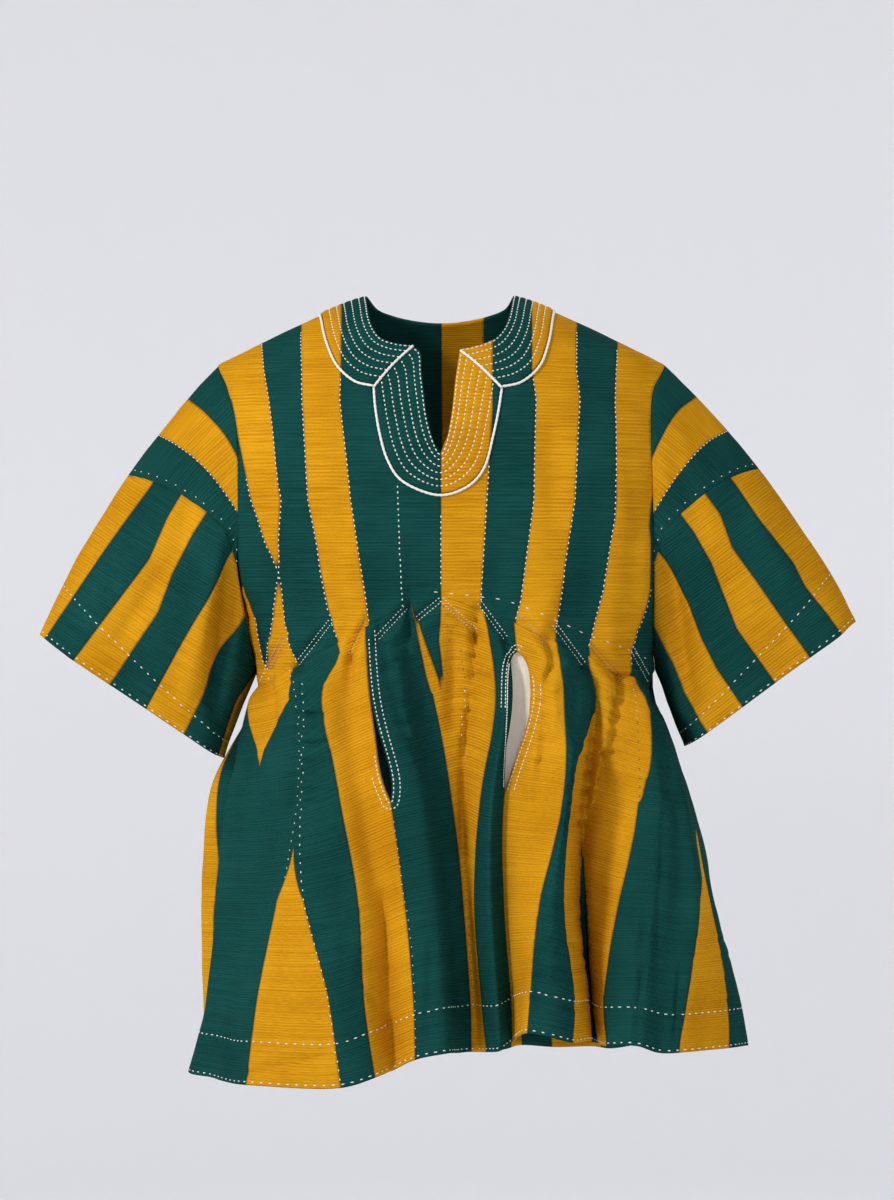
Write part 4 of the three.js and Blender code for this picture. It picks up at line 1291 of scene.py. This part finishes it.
def yoke_edge(pair, outer, margin=0):
    """A pair's place on the neck, or on the outer edge and a margin past it."""
    length = math.hypot(pair.out_x - pair.x, pair.out_z - pair.z)
    x = pair.out_x + (pair.out_x - pair.x) * margin / length if outer else pair.x
    z = pair.out_z + (pair.out_z - pair.z) * margin / length if outer else pair.z
    share = x / half_width(z, x)
    return share, turn_of(share, z, pair.face)


def between(a, b, t):
    return lerp(a[0], b[0], t), lerp(a[1], b[1], t)


def yoke_way(pairs, outer, part, margin=0):
    """A place on one of the yoke's edges, on a smooth curve through its pairs."""
    last = len(pairs) - 1
    k = min(int(part), last - 1)
    edges = [yoke_edge(pairs[clamp(i, 0, last)], outer, margin) for i in (k - 1, k, k + 1, k + 2)]
    return tuple(hermite(b, c, (c - a) / 2, (d - b) / 2, part - k) for a, b, c, d in zip(*edges))


def yoke_spot(pairs, part, across):
    """A place on the yoke by its part of the way round and its share of the way out."""
    return between(yoke_way(pairs, False, part), yoke_way(pairs, True, part), across)


def yoke_point(pairs, part, across, lift):
    """A place on the outside of the yoke, puffed between its rows."""
    share, turn = yoke_spot(pairs, part, across)
    puff = abs(math.sin(math.pi * (across * QUILT_ROWS))) * QUILT_PUFF
    return off_shoulder(share, turn, lift + puff)


def build_yoke(settings):
    """The band and the placket between the neck's edge and the cord, puffed between the quilting rows."""
    for name, pairs, flat, area in (
        ("yoke_band", BAND, (0.31, 0.21), 0.03),
        ("yoke_placket", PLACKET, (0.13, 0.15), 0.0115),
    ):
        parts = rows_between(len(pairs) - 1, YOKE_PARTS)

        def place(c, r):
            return yoke_point(pairs, parts[c], r / (QUILT_PARTS - 1), YOKE_LIFT)

        def fact(c, r, point):
            return body_facts(point, -1 if point.y < RIDGE_Y else 1)

        bm = cloth_grid(len(parts), QUILT_PARTS, place, fact, turned=pairs is PLACKET)
        piece = as_object(settings, bm, name, "woven_stripes", settings.cloth_wall, name)


def lengths_along(points):
    """The length of a path up to each of its points."""
    lengths = [0]
    for a, b in zip(points, points[1:]):
        lengths.append(lengths[-1] + (b - a).length)
    return lengths


def cord_mesh(path):
    """A twisted two-ply cord along a path of places."""
    lengths = lengths_along(path)

    def place(c, r):
        fore = path[min(r + 1, len(path) - 1)] - path[max(r - 1, 0)]
        side = fore.cross(Vector((0.1, 1, 0.2))).normalized()
        up = side.cross(fore).normalized()
        angle = 2 * math.pi * c / CORD_SIDES
        radius = CORD_RADIUS * (0.9 + CORD_PLY * math.cos(2 * angle - lengths[r] * CORD_TWIST))
        return path[r] + side * math.cos(angle) * radius + up * math.sin(angle) * radius

    bm = cloth_grid(CORD_SIDES + 1, len(path), place, lambda c, r, point: (0, 0, 0))
    sewn_up(bm)
    bmesh.ops.holes_fill(bm, edges=[e for e in bm.edges if e.is_boundary], sides=CORD_SIDES)
    bmesh.ops.recalc_face_normals(bm, faces=bm.faces)
    return bm


def evenly(points, pitch):
    """Places along a path of points, one pitch apart."""
    lengths = lengths_along(points)
    count = max(1, round(lengths[-1] / pitch))
    places, k = [], 0
    for i in range(count + 1):
        want = lengths[-1] * i / count
        while k < len(points) - 2 and lengths[k + 1] < want:
            k += 1
        span = max(lengths[k + 1] - lengths[k], 1e-6)
        places.append(points[k].lerp(points[k + 1], (want - lengths[k]) / span))
    return places


def yoke_outline(pairs, margin, lift):
    """A path along the yoke's outer edge."""
    parts = rows_between(len(pairs) - 1, YOKE_PARTS)
    return [off_shoulder(*yoke_way(pairs, True, part, margin), lift) for part in parts]


def build_cords(settings):
    """One cord along each outer edge of the yoke and one over each mitre."""
    paths = {
        "cord_band": yoke_outline(BAND, CORD_OUTSIDE, CORD_LIFT),
        "cord_placket": yoke_outline(PLACKET, CORD_OUTSIDE, CORD_LIFT),
    }
    for name, pair in (("cord_mitre_left", PLACKET[0]), ("cord_mitre_right", PLACKET[-1])):
        inner, outer = yoke_edge(pair, False), yoke_edge(pair, True, CORD_OUTSIDE)
        lift = YOKE_LIFT + MITRE_LIFT
        paths[name] = [off_shoulder(*between(inner, outer, t), lift) for t in rows_between(1, 20)]
    for name, path in paths.items():
        bm = cord_mesh(evenly(path, CORD_STEP))
        as_object(settings, bm, name, "sewing_thread", node=name)


# Stitches

# Kinds of stitch: how far apart they are, how long and how wide
Stitch = namedtuple("Stitch", "pitch length width")
TACK_STITCH = Stitch(3.6, 2.2, 1.2)
BASTING_STITCH = Stitch(15, 4.6, 1.1)
CUFF_STITCH = Stitch(9, 3.4, 1.3)
SLIT_STITCH = Stitch(4.2, 2.9, 1.4)
OVERCAST_STITCH = Stitch(2.6, 2.9, 1.4)
SLIT_TOP_STITCH = Stitch(3.6, 2.9, 1.4)
# The hem's rows at their shares of the way down, and the cuffs' rows at theirs along the arm
HEM_ROWS = ((0.992, Stitch(9, 3.6, 1.3)), (0.895, Stitch(8.5, 3.6, 1.3)))
CUFF_ROWS = (0.985, 0.83)
TACK_SPREAD = 2.2
FIRST_QUILT_ROW = 0.04
STITCH_LIFT = 0.1
STITCH_UNEVEN = 0.18


def snapped(point, names):
    """The nearest place on the named pieces, in millimetres, and the way out of the cloth there."""
    best = None
    for name in names:
        place, normal, _, distance = SURFACES[name].find_nearest(point * MM)
        if place is not None and (best is None or distance < best[2]):
            best = (place / MM, normal, distance)
    return best[0], best[1]


def landed(x, z, names, side=-1):
    """Where a sight line from the eye, or from its mirror behind, meets the named pieces."""
    eye = Vector((EYE_X, side * EYE_AWAY, EYE_Z))
    way = (Vector((x, 0, z)) - eye).normalized()
    best = None
    for name in names:
        place, normal, _, distance = SURFACES[name].ray_cast(eye * MM, way)
        if place is not None and (best is None or distance < best[1]):
            best = (place / MM, distance)
    return best[0] if best else None


def stitch_frames(points, names, stitch, shade=0.0):
    """A frame and a shade for each stitch of a row sewn along a path of points on the named pieces."""
    frames = []
    places = evenly(points, stitch.pitch)
    for i, point in enumerate(places):
        on, normal = snapped(point, names)
        way = places[min(i + 1, len(places) - 1)] - places[max(i - 1, 0)]
        way = (way - normal * way.dot(normal)).normalized()
        side = normal.cross(way)
        turn = Matrix((way, side, normal)).transposed().to_4x4()
        wobble = 1 + random.uniform(-STITCH_UNEVEN, STITCH_UNEVEN)
        size = Matrix.Diagonal((stitch.length * wobble / 2, stitch.width / 2, stitch.width / 2.4, 1))
        place = Matrix.Translation((on + normal * STITCH_LIFT) * MM)
        frames.append((place @ turn @ size @ Matrix.Scale(MM, 4), shade))
    return frames


def joined_stitches(settings, name, frames):
    """One mesh of rounded stitches, a copy of the same small bead in each frame."""
    bead = bmesh.new()
    bmesh.ops.create_icosphere(bead, subdivisions=1, radius=1)
    corners = [v.co.copy() for v in bead.verts]
    sides = [[v.index for v in f.verts] for f in bead.faces]
    bead.free()
    places, faces, shades = [], [], []
    for frame_matrix, shade in frames:
        start = len(places)
        places += [frame_matrix @ corner for corner in corners]
        faces += [[start + i for i in side] for side in sides]
        shades += [shade] * len(corners)
    mesh = bpy.data.meshes.new(name)
    mesh.from_pydata(places, [], faces)
    mesh.attributes.new("shade", "FLOAT", "POINT").data.foreach_set("value", shades)
    mesh.polygons.foreach_set("use_smooth", [True] * len(mesh.polygons))
    mesh.materials.append(material_of(settings, "sewing_thread"))
    piece = bpy.data.objects.new(name, mesh)
    bpy.context.scene.collection.objects.link(piece)
    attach(piece, "root")
    return piece


# The skirt's sewn seams, counted in its lines, from one share of the way down to another
SkirtSeam = namedtuple("SkirtSeam", "at start end length shade")
SKIRT_SEAMS = [
    SkirtSeam(4.2, 0.0, 0.5, 1.9, 0),
    SkirtSeam(5, 0.05, 0.98, 2.2, 0),
    SkirtSeam(8, 0.45, 0.97, 1.2, 0),
    SkirtSeam(12, 0.02, 0.2, 2.2, 0.9),
    SkirtSeam(12, 0.21, 0.3, 2.2, 0),
    SkirtSeam(12, 0.31, 0.9, 1.8, 0.9),
    SkirtSeam(23, 0.02, 0.12, 1.9, 0.3),
    SkirtSeam(23, 0.13, 0.35, 1.9, 0.9),
    SkirtSeam(31, 0, 0.98, 1.6, 0),
    SkirtSeam(35, 0, 0.98, 1.6, 0),
    SkirtSeam(39.9, 0, 0.98, 1.6, 0),
    SkirtSeam(44.6, 0, 0.98, 1.6, 0),
]
FRONT_PIECES = ("bodice_front", "skirt_front")
BACK_PIECES = ("bodice_back", "skirt_back")
SKIRT_PIECES = ("skirt_front", "skirt_back")
YOKE_PIECES = ("yoke_band", "yoke_placket")
SLEEVE_PIECES = ("sleeve_cap_left", "sleeve_left", "sleeve_cap_right", "sleeve_right")
# The middle seam of the wide green strips, from its top to its foot, as x and z
MIDDLE_SEAM = ((-46, -60), (-38, -305))
PAST_SIDE = 0.985
YOKE_REACH = 31


def edge_paths(bands, face, lowest):
    """The edges of the gold bands on the bodice, as paths of points."""
    paths = []
    for band in bands:
        for side in (1, 2):
            points = []
            for upper, lower in zip(band, band[1:]):
                for i in range(6):
                    z = lerp(upper[0], lower[0], i / 6)
                    x = lerp(upper[side], lower[side], i / 6)
                    points.append((x, z))
            points.append((band[-1][side], band[-1][0]))
            path = []
            for x, z in points:
                share = x / half_width(z, x)
                if abs(share) > PAST_SIDE or not waist_z(share) + lowest <= z <= top_z(share, face) - 1:
                    continue
                near = nearness(body_at(share, z, face).y) if face < 0 else 1
                height = min(EYE_Z + (z - EYE_Z) * near, top_z(share, face))
                x_real = EYE_X + (x - EYE_X) * near
                path.append(body_at(x_real / half_width(height, x_real), height, face))
            if len(path) > 3:
                paths.append(path)
    return paths


def inside_yoke(point):
    """True where the yoke or its cord lies over the bodice."""
    for pairs in (BAND, PLACKET):
        for pair in pairs:
            if (pair.face < 0) == (point.y < RIDGE_Y):
                middle = Vector(((pair.x + pair.out_x) / 2, (pair.z + pair.out_z) / 2))
                if (Vector((point.x, point.z)) - middle).length < YOKE_REACH:
                    return True
    return False


def build_seam_stitches(settings):
    """The stitches that join the strips on the bodice, the skirt and the sleeves."""
    pitch = settings.seam_pitch / MM
    body_stitch = Stitch(pitch, 2.4, 1.5)
    armhole_stitch = Stitch(pitch * 2.2, 1.8, 1.3)
    cap_stitch = Stitch(pitch, 2.2, 1.4)
    frames = []
    for face, bands, names in ((-1, GOLD_FRONT, ("bodice_front",)), (1, GOLD_BACK, ("bodice_back",))):
        paths = edge_paths(bands, face, 4)
        seam = [between(*MIDDLE_SEAM, t) for t in rows_between(1, 30)]
        paths.append([body_at(x / half_width(z, x), z, face) for x, z in seam])
        for path in paths:
            path = [p for p in path if not inside_yoke(p)]
            if len(path) > 2:
                frames += stitch_frames(path, names, body_stitch)
    for row in SKIRT_SEAMS:
        path = [skirt_place(row.at, lerp(row.start, row.end, t)) for t in rows_between(1, 60)]
        frames += stitch_frames(path, SKIRT_PIECES, Stitch(pitch * 1.6, row.length, 1.4), row.shade)
    for sleeve in SLEEVES:
        names = ("sleeve_cap_" + sleeve.name, "sleeve_" + sleeve.name)
        steps = [s / 2 for s in range(-2 * CAP_COLUMNS, 2 * CAP_COLUMNS + 1)]
        path = [sleeve_point(sleeve, s % ARM_RING, cross_seam(s % ARM_RING) - 0.02) for s in steps]
        frames += stitch_frames(path, names, armhole_stitch)
        top, end = CAP_CURVES[1]
        points = []
        for i in range(-20, 21):
            step = end * i / 20.5
            points.append(sleeve_point(sleeve, step % ARM_RING, top * (1 - (step / end) ** 2)))
        frames += stitch_frames(points, names, cap_stitch)
    return joined_stitches(settings, "seam_stitches", frames)


def aside(point, across, up=0):
    """The place on the skirt's front seen this far to the side of a point."""
    x, z = seen(point)
    return landed(x + across, z + up, ("skirt_front",)) or point


def slit_side(slit, offset, start, end):
    """A path beside a slit: on its right where the offset is more than nothing, else on its left."""
    pull = math.copysign(0.5, offset)
    at = slit.line + math.copysign(BESIDE_SLIT, offset)
    downs = [lerp(start, end, t) for t in rows_between(1, 40)]
    return [aside(skirt_place(at, down, slit, pull), offset) for down in downs]


def slit_row(slit, offset, start, round_foot=None):
    """A path down a slit's right side and, where asked, round its foot and up the left side again."""
    path = slit_side(slit, offset, start, slit.foot - 0.004)
    if round_foot:
        foot = skirt_place(slit.line, slit.foot)
        for i in range(1, 12):
            angle = math.pi * i / 12
            path.append(aside(foot, math.cos(angle) * offset, -math.sin(angle) * offset))
        path += slit_side(slit, -offset, slit.foot - 0.004, round_foot)
    return path


def slit_top(slit, offset, end):
    """A path round a slit's top and down its left side."""
    top = skirt_place(slit.line, slit.top)
    angles = [math.pi * i / 14 for i in range(4, 14)]
    path = [aside(top, math.cos(a) * offset, math.sin(a) * offset) for a in angles]
    return path + slit_side(slit, -offset, slit.top, end)


def tack_points(tack, offset, names, side):
    """A straight row beside a tacked fold, laid on the cloth along the sight lines."""
    across, down = tack.x1 - tack.x0, tack.z1 - tack.z0
    run = math.hypot(across, down)
    points = []
    for i in range(9):
        x = lerp(tack.x0, tack.x1, i / 8) - down / run * offset
        z = lerp(tack.z0, tack.z1, i / 8) + across / run * offset
        points.append(landed(x, z, names, side))
    return [point for point in points if point]


def build_row_stitches(settings):
    """The running stitches at the hem and the cuffs, the tacks under the waist and those round the slits."""
    frames = []
    around = [i / 6 for i in range(6 * len(RING))]
    for down, stitch in HEM_ROWS:
        path = [skirt_place(at, down) for at in around]
        frames += stitch_frames(path, SKIRT_PIECES, stitch)
    for sleeve in SLEEVES:
        for along in CUFF_ROWS:
            path = [sleeve_point(sleeve, s / ARM_PARTS, along) for s in range(ARM_PARTS * ARM_RING)]
            frames += stitch_frames(path, ("sleeve_" + sleeve.name,), CUFF_STITCH)
    for side, tacks, names in ((-1, TACKS, FRONT_PIECES), (1, TACKS_BACK, BACK_PIECES)):
        for tack in tacks:
            for offset in (-TACK_SPREAD, TACK_SPREAD):
                points = tack_points(tack, offset, names, side)
                frames += stitch_frames(points, names, TACK_STITCH, tack.shade)
    basting = [landed(x, z, FRONT_PIECES) for x, z in BASTING]
    frames += stitch_frames([p for p in basting if p], FRONT_PIECES, BASTING_STITCH)
    left, right = SLITS
    for path, stitch in (
        (slit_row(left, 2.4, 0.03, round_foot=0.3), SLIT_STITCH),
        (slit_row(left, 8.8, 0.01, round_foot=0.35), SLIT_STITCH),
        (slit_row(right, 2.4, 0.13), SLIT_STITCH),
        (slit_row(right, 9.0, 0.15), SLIT_STITCH),
        (slit_side(right, -1.2, 0.1, 0.39), OVERCAST_STITCH),
        (slit_top(right, 3.0, 0.2), SLIT_TOP_STITCH),
        (slit_top(right, 7.0, 0.2), SLIT_TOP_STITCH),
    ):
        frames += stitch_frames(path, ("skirt_front",), stitch)
    return joined_stitches(settings, "row_stitches", frames)


def build_quilting(settings):
    """The rows of the yoke: the first just inside the neck's edge, the others between the puffs."""
    frames = []
    stitch = Stitch(settings.quilt_pitch / MM, 3.1, 1.5)
    for pairs, name in ((BAND, "yoke_band"), (PLACKET, "yoke_placket")):
        parts = rows_between(len(pairs) - 1, YOKE_PARTS)
        for row in range(QUILT_ROWS):
            across = row / QUILT_ROWS if row else FIRST_QUILT_ROW
            path = [yoke_point(pairs, part, across, YOKE_LIFT) for part in parts]
            frames += stitch_frames(path, (name,), stitch)
    return joined_stitches(settings, "quilting_stitches", frames)


# Stage

ROOM_RADIUS = 5
ROOM_CURVE = 1.3
ROOM_FLOOR = -1.5
ROOM_TOP = 3.4
Lamp = namedtuple("Lamp", "name place power size colour")
LAMPS = [
    Lamp("key", (-2.85, -2.9, 1.8), 116, 0.6, (1.0, 0.98, 0.95)),
    Lamp("fill", (1.8, -3.0, 0.4), 2.5, 1.6, (0.95, 0.97, 1.0)),
    Lamp("top", (0.2, -0.9, 2.0), 7, 1.2, (1.0, 1.0, 1.0)),
    Lamp("back", (1.2, 2.4, 1.6), 22, 1.4, (0.96, 0.98, 1.0)),
]
LAMPS_AIM = (0, 0, -0.35)
WORLD_COLOUR = (0.92, 0.94, 1.0, 1)
WORLD_STRENGTH = 0.22
LENS_MM = 102
SENSOR_MM = 36


def build_stage(settings):
    """A round pale room, open above, whose floor curves up into its wall, so that all sides look alike."""
    bm = bmesh.new()
    flat = ROOM_RADIUS - ROOM_CURVE
    profile = [(0, ROOM_FLOOR), (flat, ROOM_FLOOR)]
    for i in range(1, 13):
        angle = math.pi / 2 * i / 12
        height = ROOM_FLOOR + ROOM_CURVE * (1 - math.cos(angle))
        profile.append((flat + ROOM_CURVE * math.sin(angle), height))
    profile.append((ROOM_RADIUS, ROOM_TOP))
    verts = [bm.verts.new((x, 0, z)) for x, z in profile]
    edges = [bm.edges.new(pair) for pair in zip(verts, verts[1:])]
    bmesh.ops.spin(
        bm, geom=verts + edges, cent=(0, 0, 0), axis=(0, 0, 1), angle=2 * math.pi, steps=72, use_merge=True
    )
    bmesh.ops.remove_doubles(bm, verts=bm.verts, dist=0.001)
    for face in bm.faces:
        face.smooth = True
    mesh = bpy.data.meshes.new("floor")
    bm.to_mesh(mesh)
    bm.free()
    mesh.materials.append(material_of(settings, "pale_floor"))
    floor = bpy.data.objects.new("floor", mesh)
    bpy.context.scene.collection.objects.link(floor)
    for lamp in LAMPS:
        data = bpy.data.lights.new(lamp.name, "AREA")
        data.energy = lamp.power
        data.size = lamp.size
        data.color = lamp.colour
        light = bpy.data.objects.new(lamp.name, data)
        light.location = lamp.place
        aim = Vector(LAMPS_AIM) - light.location
        light.rotation_euler = aim.to_track_quat("-Z", "Y").to_euler()
        bpy.context.scene.collection.objects.link(light)
    world = bpy.data.worlds.new("studio")
    world.use_nodes = True
    world.node_tree.nodes["Background"].inputs["Color"].default_value = WORLD_COLOUR
    world.node_tree.nodes["Background"].inputs["Strength"].default_value = WORLD_STRENGTH
    bpy.context.scene.world = world
    bpy.context.scene.view_settings.view_transform = "Standard"
    data = bpy.data.cameras.new("camera")
    data.lens = LENS_MM
    data.sensor_width = SENSOR_MM
    camera = bpy.data.objects.new("camera", data)
    camera.location = (EYE_X * MM, -EYE_AWAY * MM, EYE_Z * MM)
    camera.rotation_euler = (math.pi / 2, 0, 0)
    bpy.context.scene.collection.objects.link(camera)
    bpy.context.scene.camera = camera


# The add-on

def length_property(name, description, default):
    return bpy.props.FloatProperty(
        name=name, description=description, default=default, min=0.0001, unit="LENGTH", precision=4
    )


def colour_property(name, description, default):
    return bpy.props.FloatVectorProperty(
        name=name, description=description, default=default, size=4, min=0, max=1, subtype="COLOR"
    )


class SmockSettings(bpy.types.PropertyGroup):
    """The sizes and colours that a user would change."""
    cloth_wall: length_property("Cloth wall", "Thickness of the woven cloth", 0.0014)
    bag_wall: length_property("Calico wall", "Thickness of the pocket bag's calico", 0.0006)
    rib_pitch: length_property("Rib pitch", "Distance between the ribs across a strip", 0.003)
    seam_pitch: length_property("Seam pitch", "Distance between the stitches that join strips", 0.0054)
    quilt_pitch: length_property("Quilting pitch", "Distance between the yoke's stitches", 0.0047)
    green_dark: colour_property("Dark green", "The green strips' deepest threads", (0.004, 0.036, 0.033, 1))
    green_light: colour_property("Light green", "The green strips' palest threads", (0.010, 0.080, 0.070, 1))
    gold_dark: colour_property("Dark gold", "The gold strips' deepest threads", (0.43, 0.17, 0.003, 1))
    gold_light: colour_property("Light gold", "The gold strips' palest threads", (0.76, 0.37, 0.013, 1))
    thread_dark: colour_property("Thread shadow", "The white thread in its grain", (0.74, 0.72, 0.66, 1))
    thread_light: colour_property("Thread", "The white thread and the cord", (0.92, 0.90, 0.84, 1))
    # Stitches are drawn in this brown as far as their shade attribute says
    thread_brown: colour_property("Brown thread", "The thread on some of the gold", (0.12, 0.045, 0.004, 1))
    calico_dark: colour_property("Calico shadow", "The pocket bag in its grain", (0.90, 0.82, 0.69, 1))
    calico_light: colour_property("Calico", "The pocket bag", (0.95, 0.88, 0.76, 1))


def needed(*names):
    """Raises an error unless the named pieces are built."""
    missing = [name for name in names if name not in SURFACES]
    if missing:
        raise RuntimeError(f"Build {', '.join(missing)} first")


class SMOCK_OT_bodice(bpy.types.Operator):
    """Builds the front and back of the bodice."""
    bl_idname = "smock.bodice"
    bl_label = "Bodice"

    def execute(self, context):
        build_bodice(context.scene.smock)
        return {"FINISHED"}


class SMOCK_OT_sleeves(bpy.types.Operator):
    """Builds the sleeve caps and the lower sleeves."""
    bl_idname = "smock.sleeves"
    bl_label = "Sleeves"

    def execute(self, context):
        build_sleeves(context.scene.smock)
        return {"FINISHED"}


class SMOCK_OT_skirt(bpy.types.Operator):
    """Builds the gathered skirt with its pocket slits."""
    bl_idname = "smock.skirt"
    bl_label = "Skirt"

    def execute(self, context):
        build_skirt(context.scene.smock)
        return {"FINISHED"}


class SMOCK_OT_pocket(bpy.types.Operator):
    """Builds the calico bag behind the right slit."""
    bl_idname = "smock.pocket"
    bl_label = "Pocket"

    def execute(self, context):
        needed("skirt_front")
        build_pocket(context.scene.smock)
        return {"FINISHED"}


class SMOCK_OT_yoke(bpy.types.Operator):
    """Builds the quilted neck band and placket."""
    bl_idname = "smock.yoke"
    bl_label = "Yoke"

    def execute(self, context):
        needed("bodice_front", "bodice_back")
        build_yoke(context.scene.smock)
        return {"FINISHED"}


class SMOCK_OT_cords(bpy.types.Operator):
    """Lays the white cord round the yoke and over its mitres."""
    bl_idname = "smock.cords"
    bl_label = "Cords"

    def execute(self, context):
        needed(*YOKE_PIECES)
        build_cords(context.scene.smock)
        return {"FINISHED"}


class SMOCK_OT_seams(bpy.types.Operator):
    """Sews the seams between strips."""
    bl_idname = "smock.seams"
    bl_label = "Seam stitches"

    def execute(self, context):
        needed(*FRONT_PIECES, *BACK_PIECES, *SLEEVE_PIECES)
        build_seam_stitches(context.scene.smock)
        return {"FINISHED"}


class SMOCK_OT_rows(bpy.types.Operator):
    """Sews the running rows at hem, cuffs, waist and slits."""
    bl_idname = "smock.rows"
    bl_label = "Running rows"

    def execute(self, context):
        needed(*FRONT_PIECES, *BACK_PIECES, *SLEEVE_PIECES)
        build_row_stitches(context.scene.smock)
        return {"FINISHED"}


class SMOCK_OT_quilting(bpy.types.Operator):
    """Sews the rows of the yoke."""
    bl_idname = "smock.quilting"
    bl_label = "Quilting"

    def execute(self, context):
        needed(*YOKE_PIECES)
        build_quilting(context.scene.smock)
        return {"FINISHED"}


class SMOCK_OT_stage(bpy.types.Operator):
    """Sets the pale room, the lights and the camera."""
    bl_idname = "smock.stage"
    bl_label = "Stage"

    def execute(self, context):
        build_stage(context.scene.smock)
        return {"FINISHED"}


OPERATORS = [
    SMOCK_OT_bodice,
    SMOCK_OT_sleeves,
    SMOCK_OT_skirt,
    SMOCK_OT_pocket,
    SMOCK_OT_yoke,
    SMOCK_OT_cords,
    SMOCK_OT_seams,
    SMOCK_OT_rows,
    SMOCK_OT_quilting,
    SMOCK_OT_stage,
]


class SMOCK_PT_panel(bpy.types.Panel):
    """The smock's pieces in the sidebar."""
    bl_label = "Smock"
    bl_idname = "SMOCK_PT_panel"
    bl_space_type = "VIEW_3D"
    bl_region_type = "UI"
    bl_category = "Smock"

    def draw(self, context):
        for name in SmockSettings.__annotations__:
            self.layout.prop(context.scene.smock, name)
        for one in OPERATORS:
            self.layout.operator(one.bl_idname)


CLASSES = [SmockSettings, *OPERATORS, SMOCK_PT_panel]


def register():
    for one in CLASSES:
        bpy.utils.register_class(one)
    bpy.types.Scene.smock = bpy.props.PointerProperty(type=SmockSettings)


def unregister():
    del bpy.types.Scene.smock
    for one in reversed(CLASSES):
        bpy.utils.unregister_class(one)


def main():
    random.seed(7)
    register()
    bpy.ops.smock.bodice()
    bpy.ops.smock.sleeves()
    bpy.ops.smock.skirt()
    bpy.ops.smock.pocket()
    bpy.ops.smock.yoke()
    bpy.ops.smock.cords()
    bpy.ops.smock.seams()
    bpy.ops.smock.rows()
    bpy.ops.smock.quilting()
    bpy.ops.smock.stage()


if __name__ == "__main__":
    main()
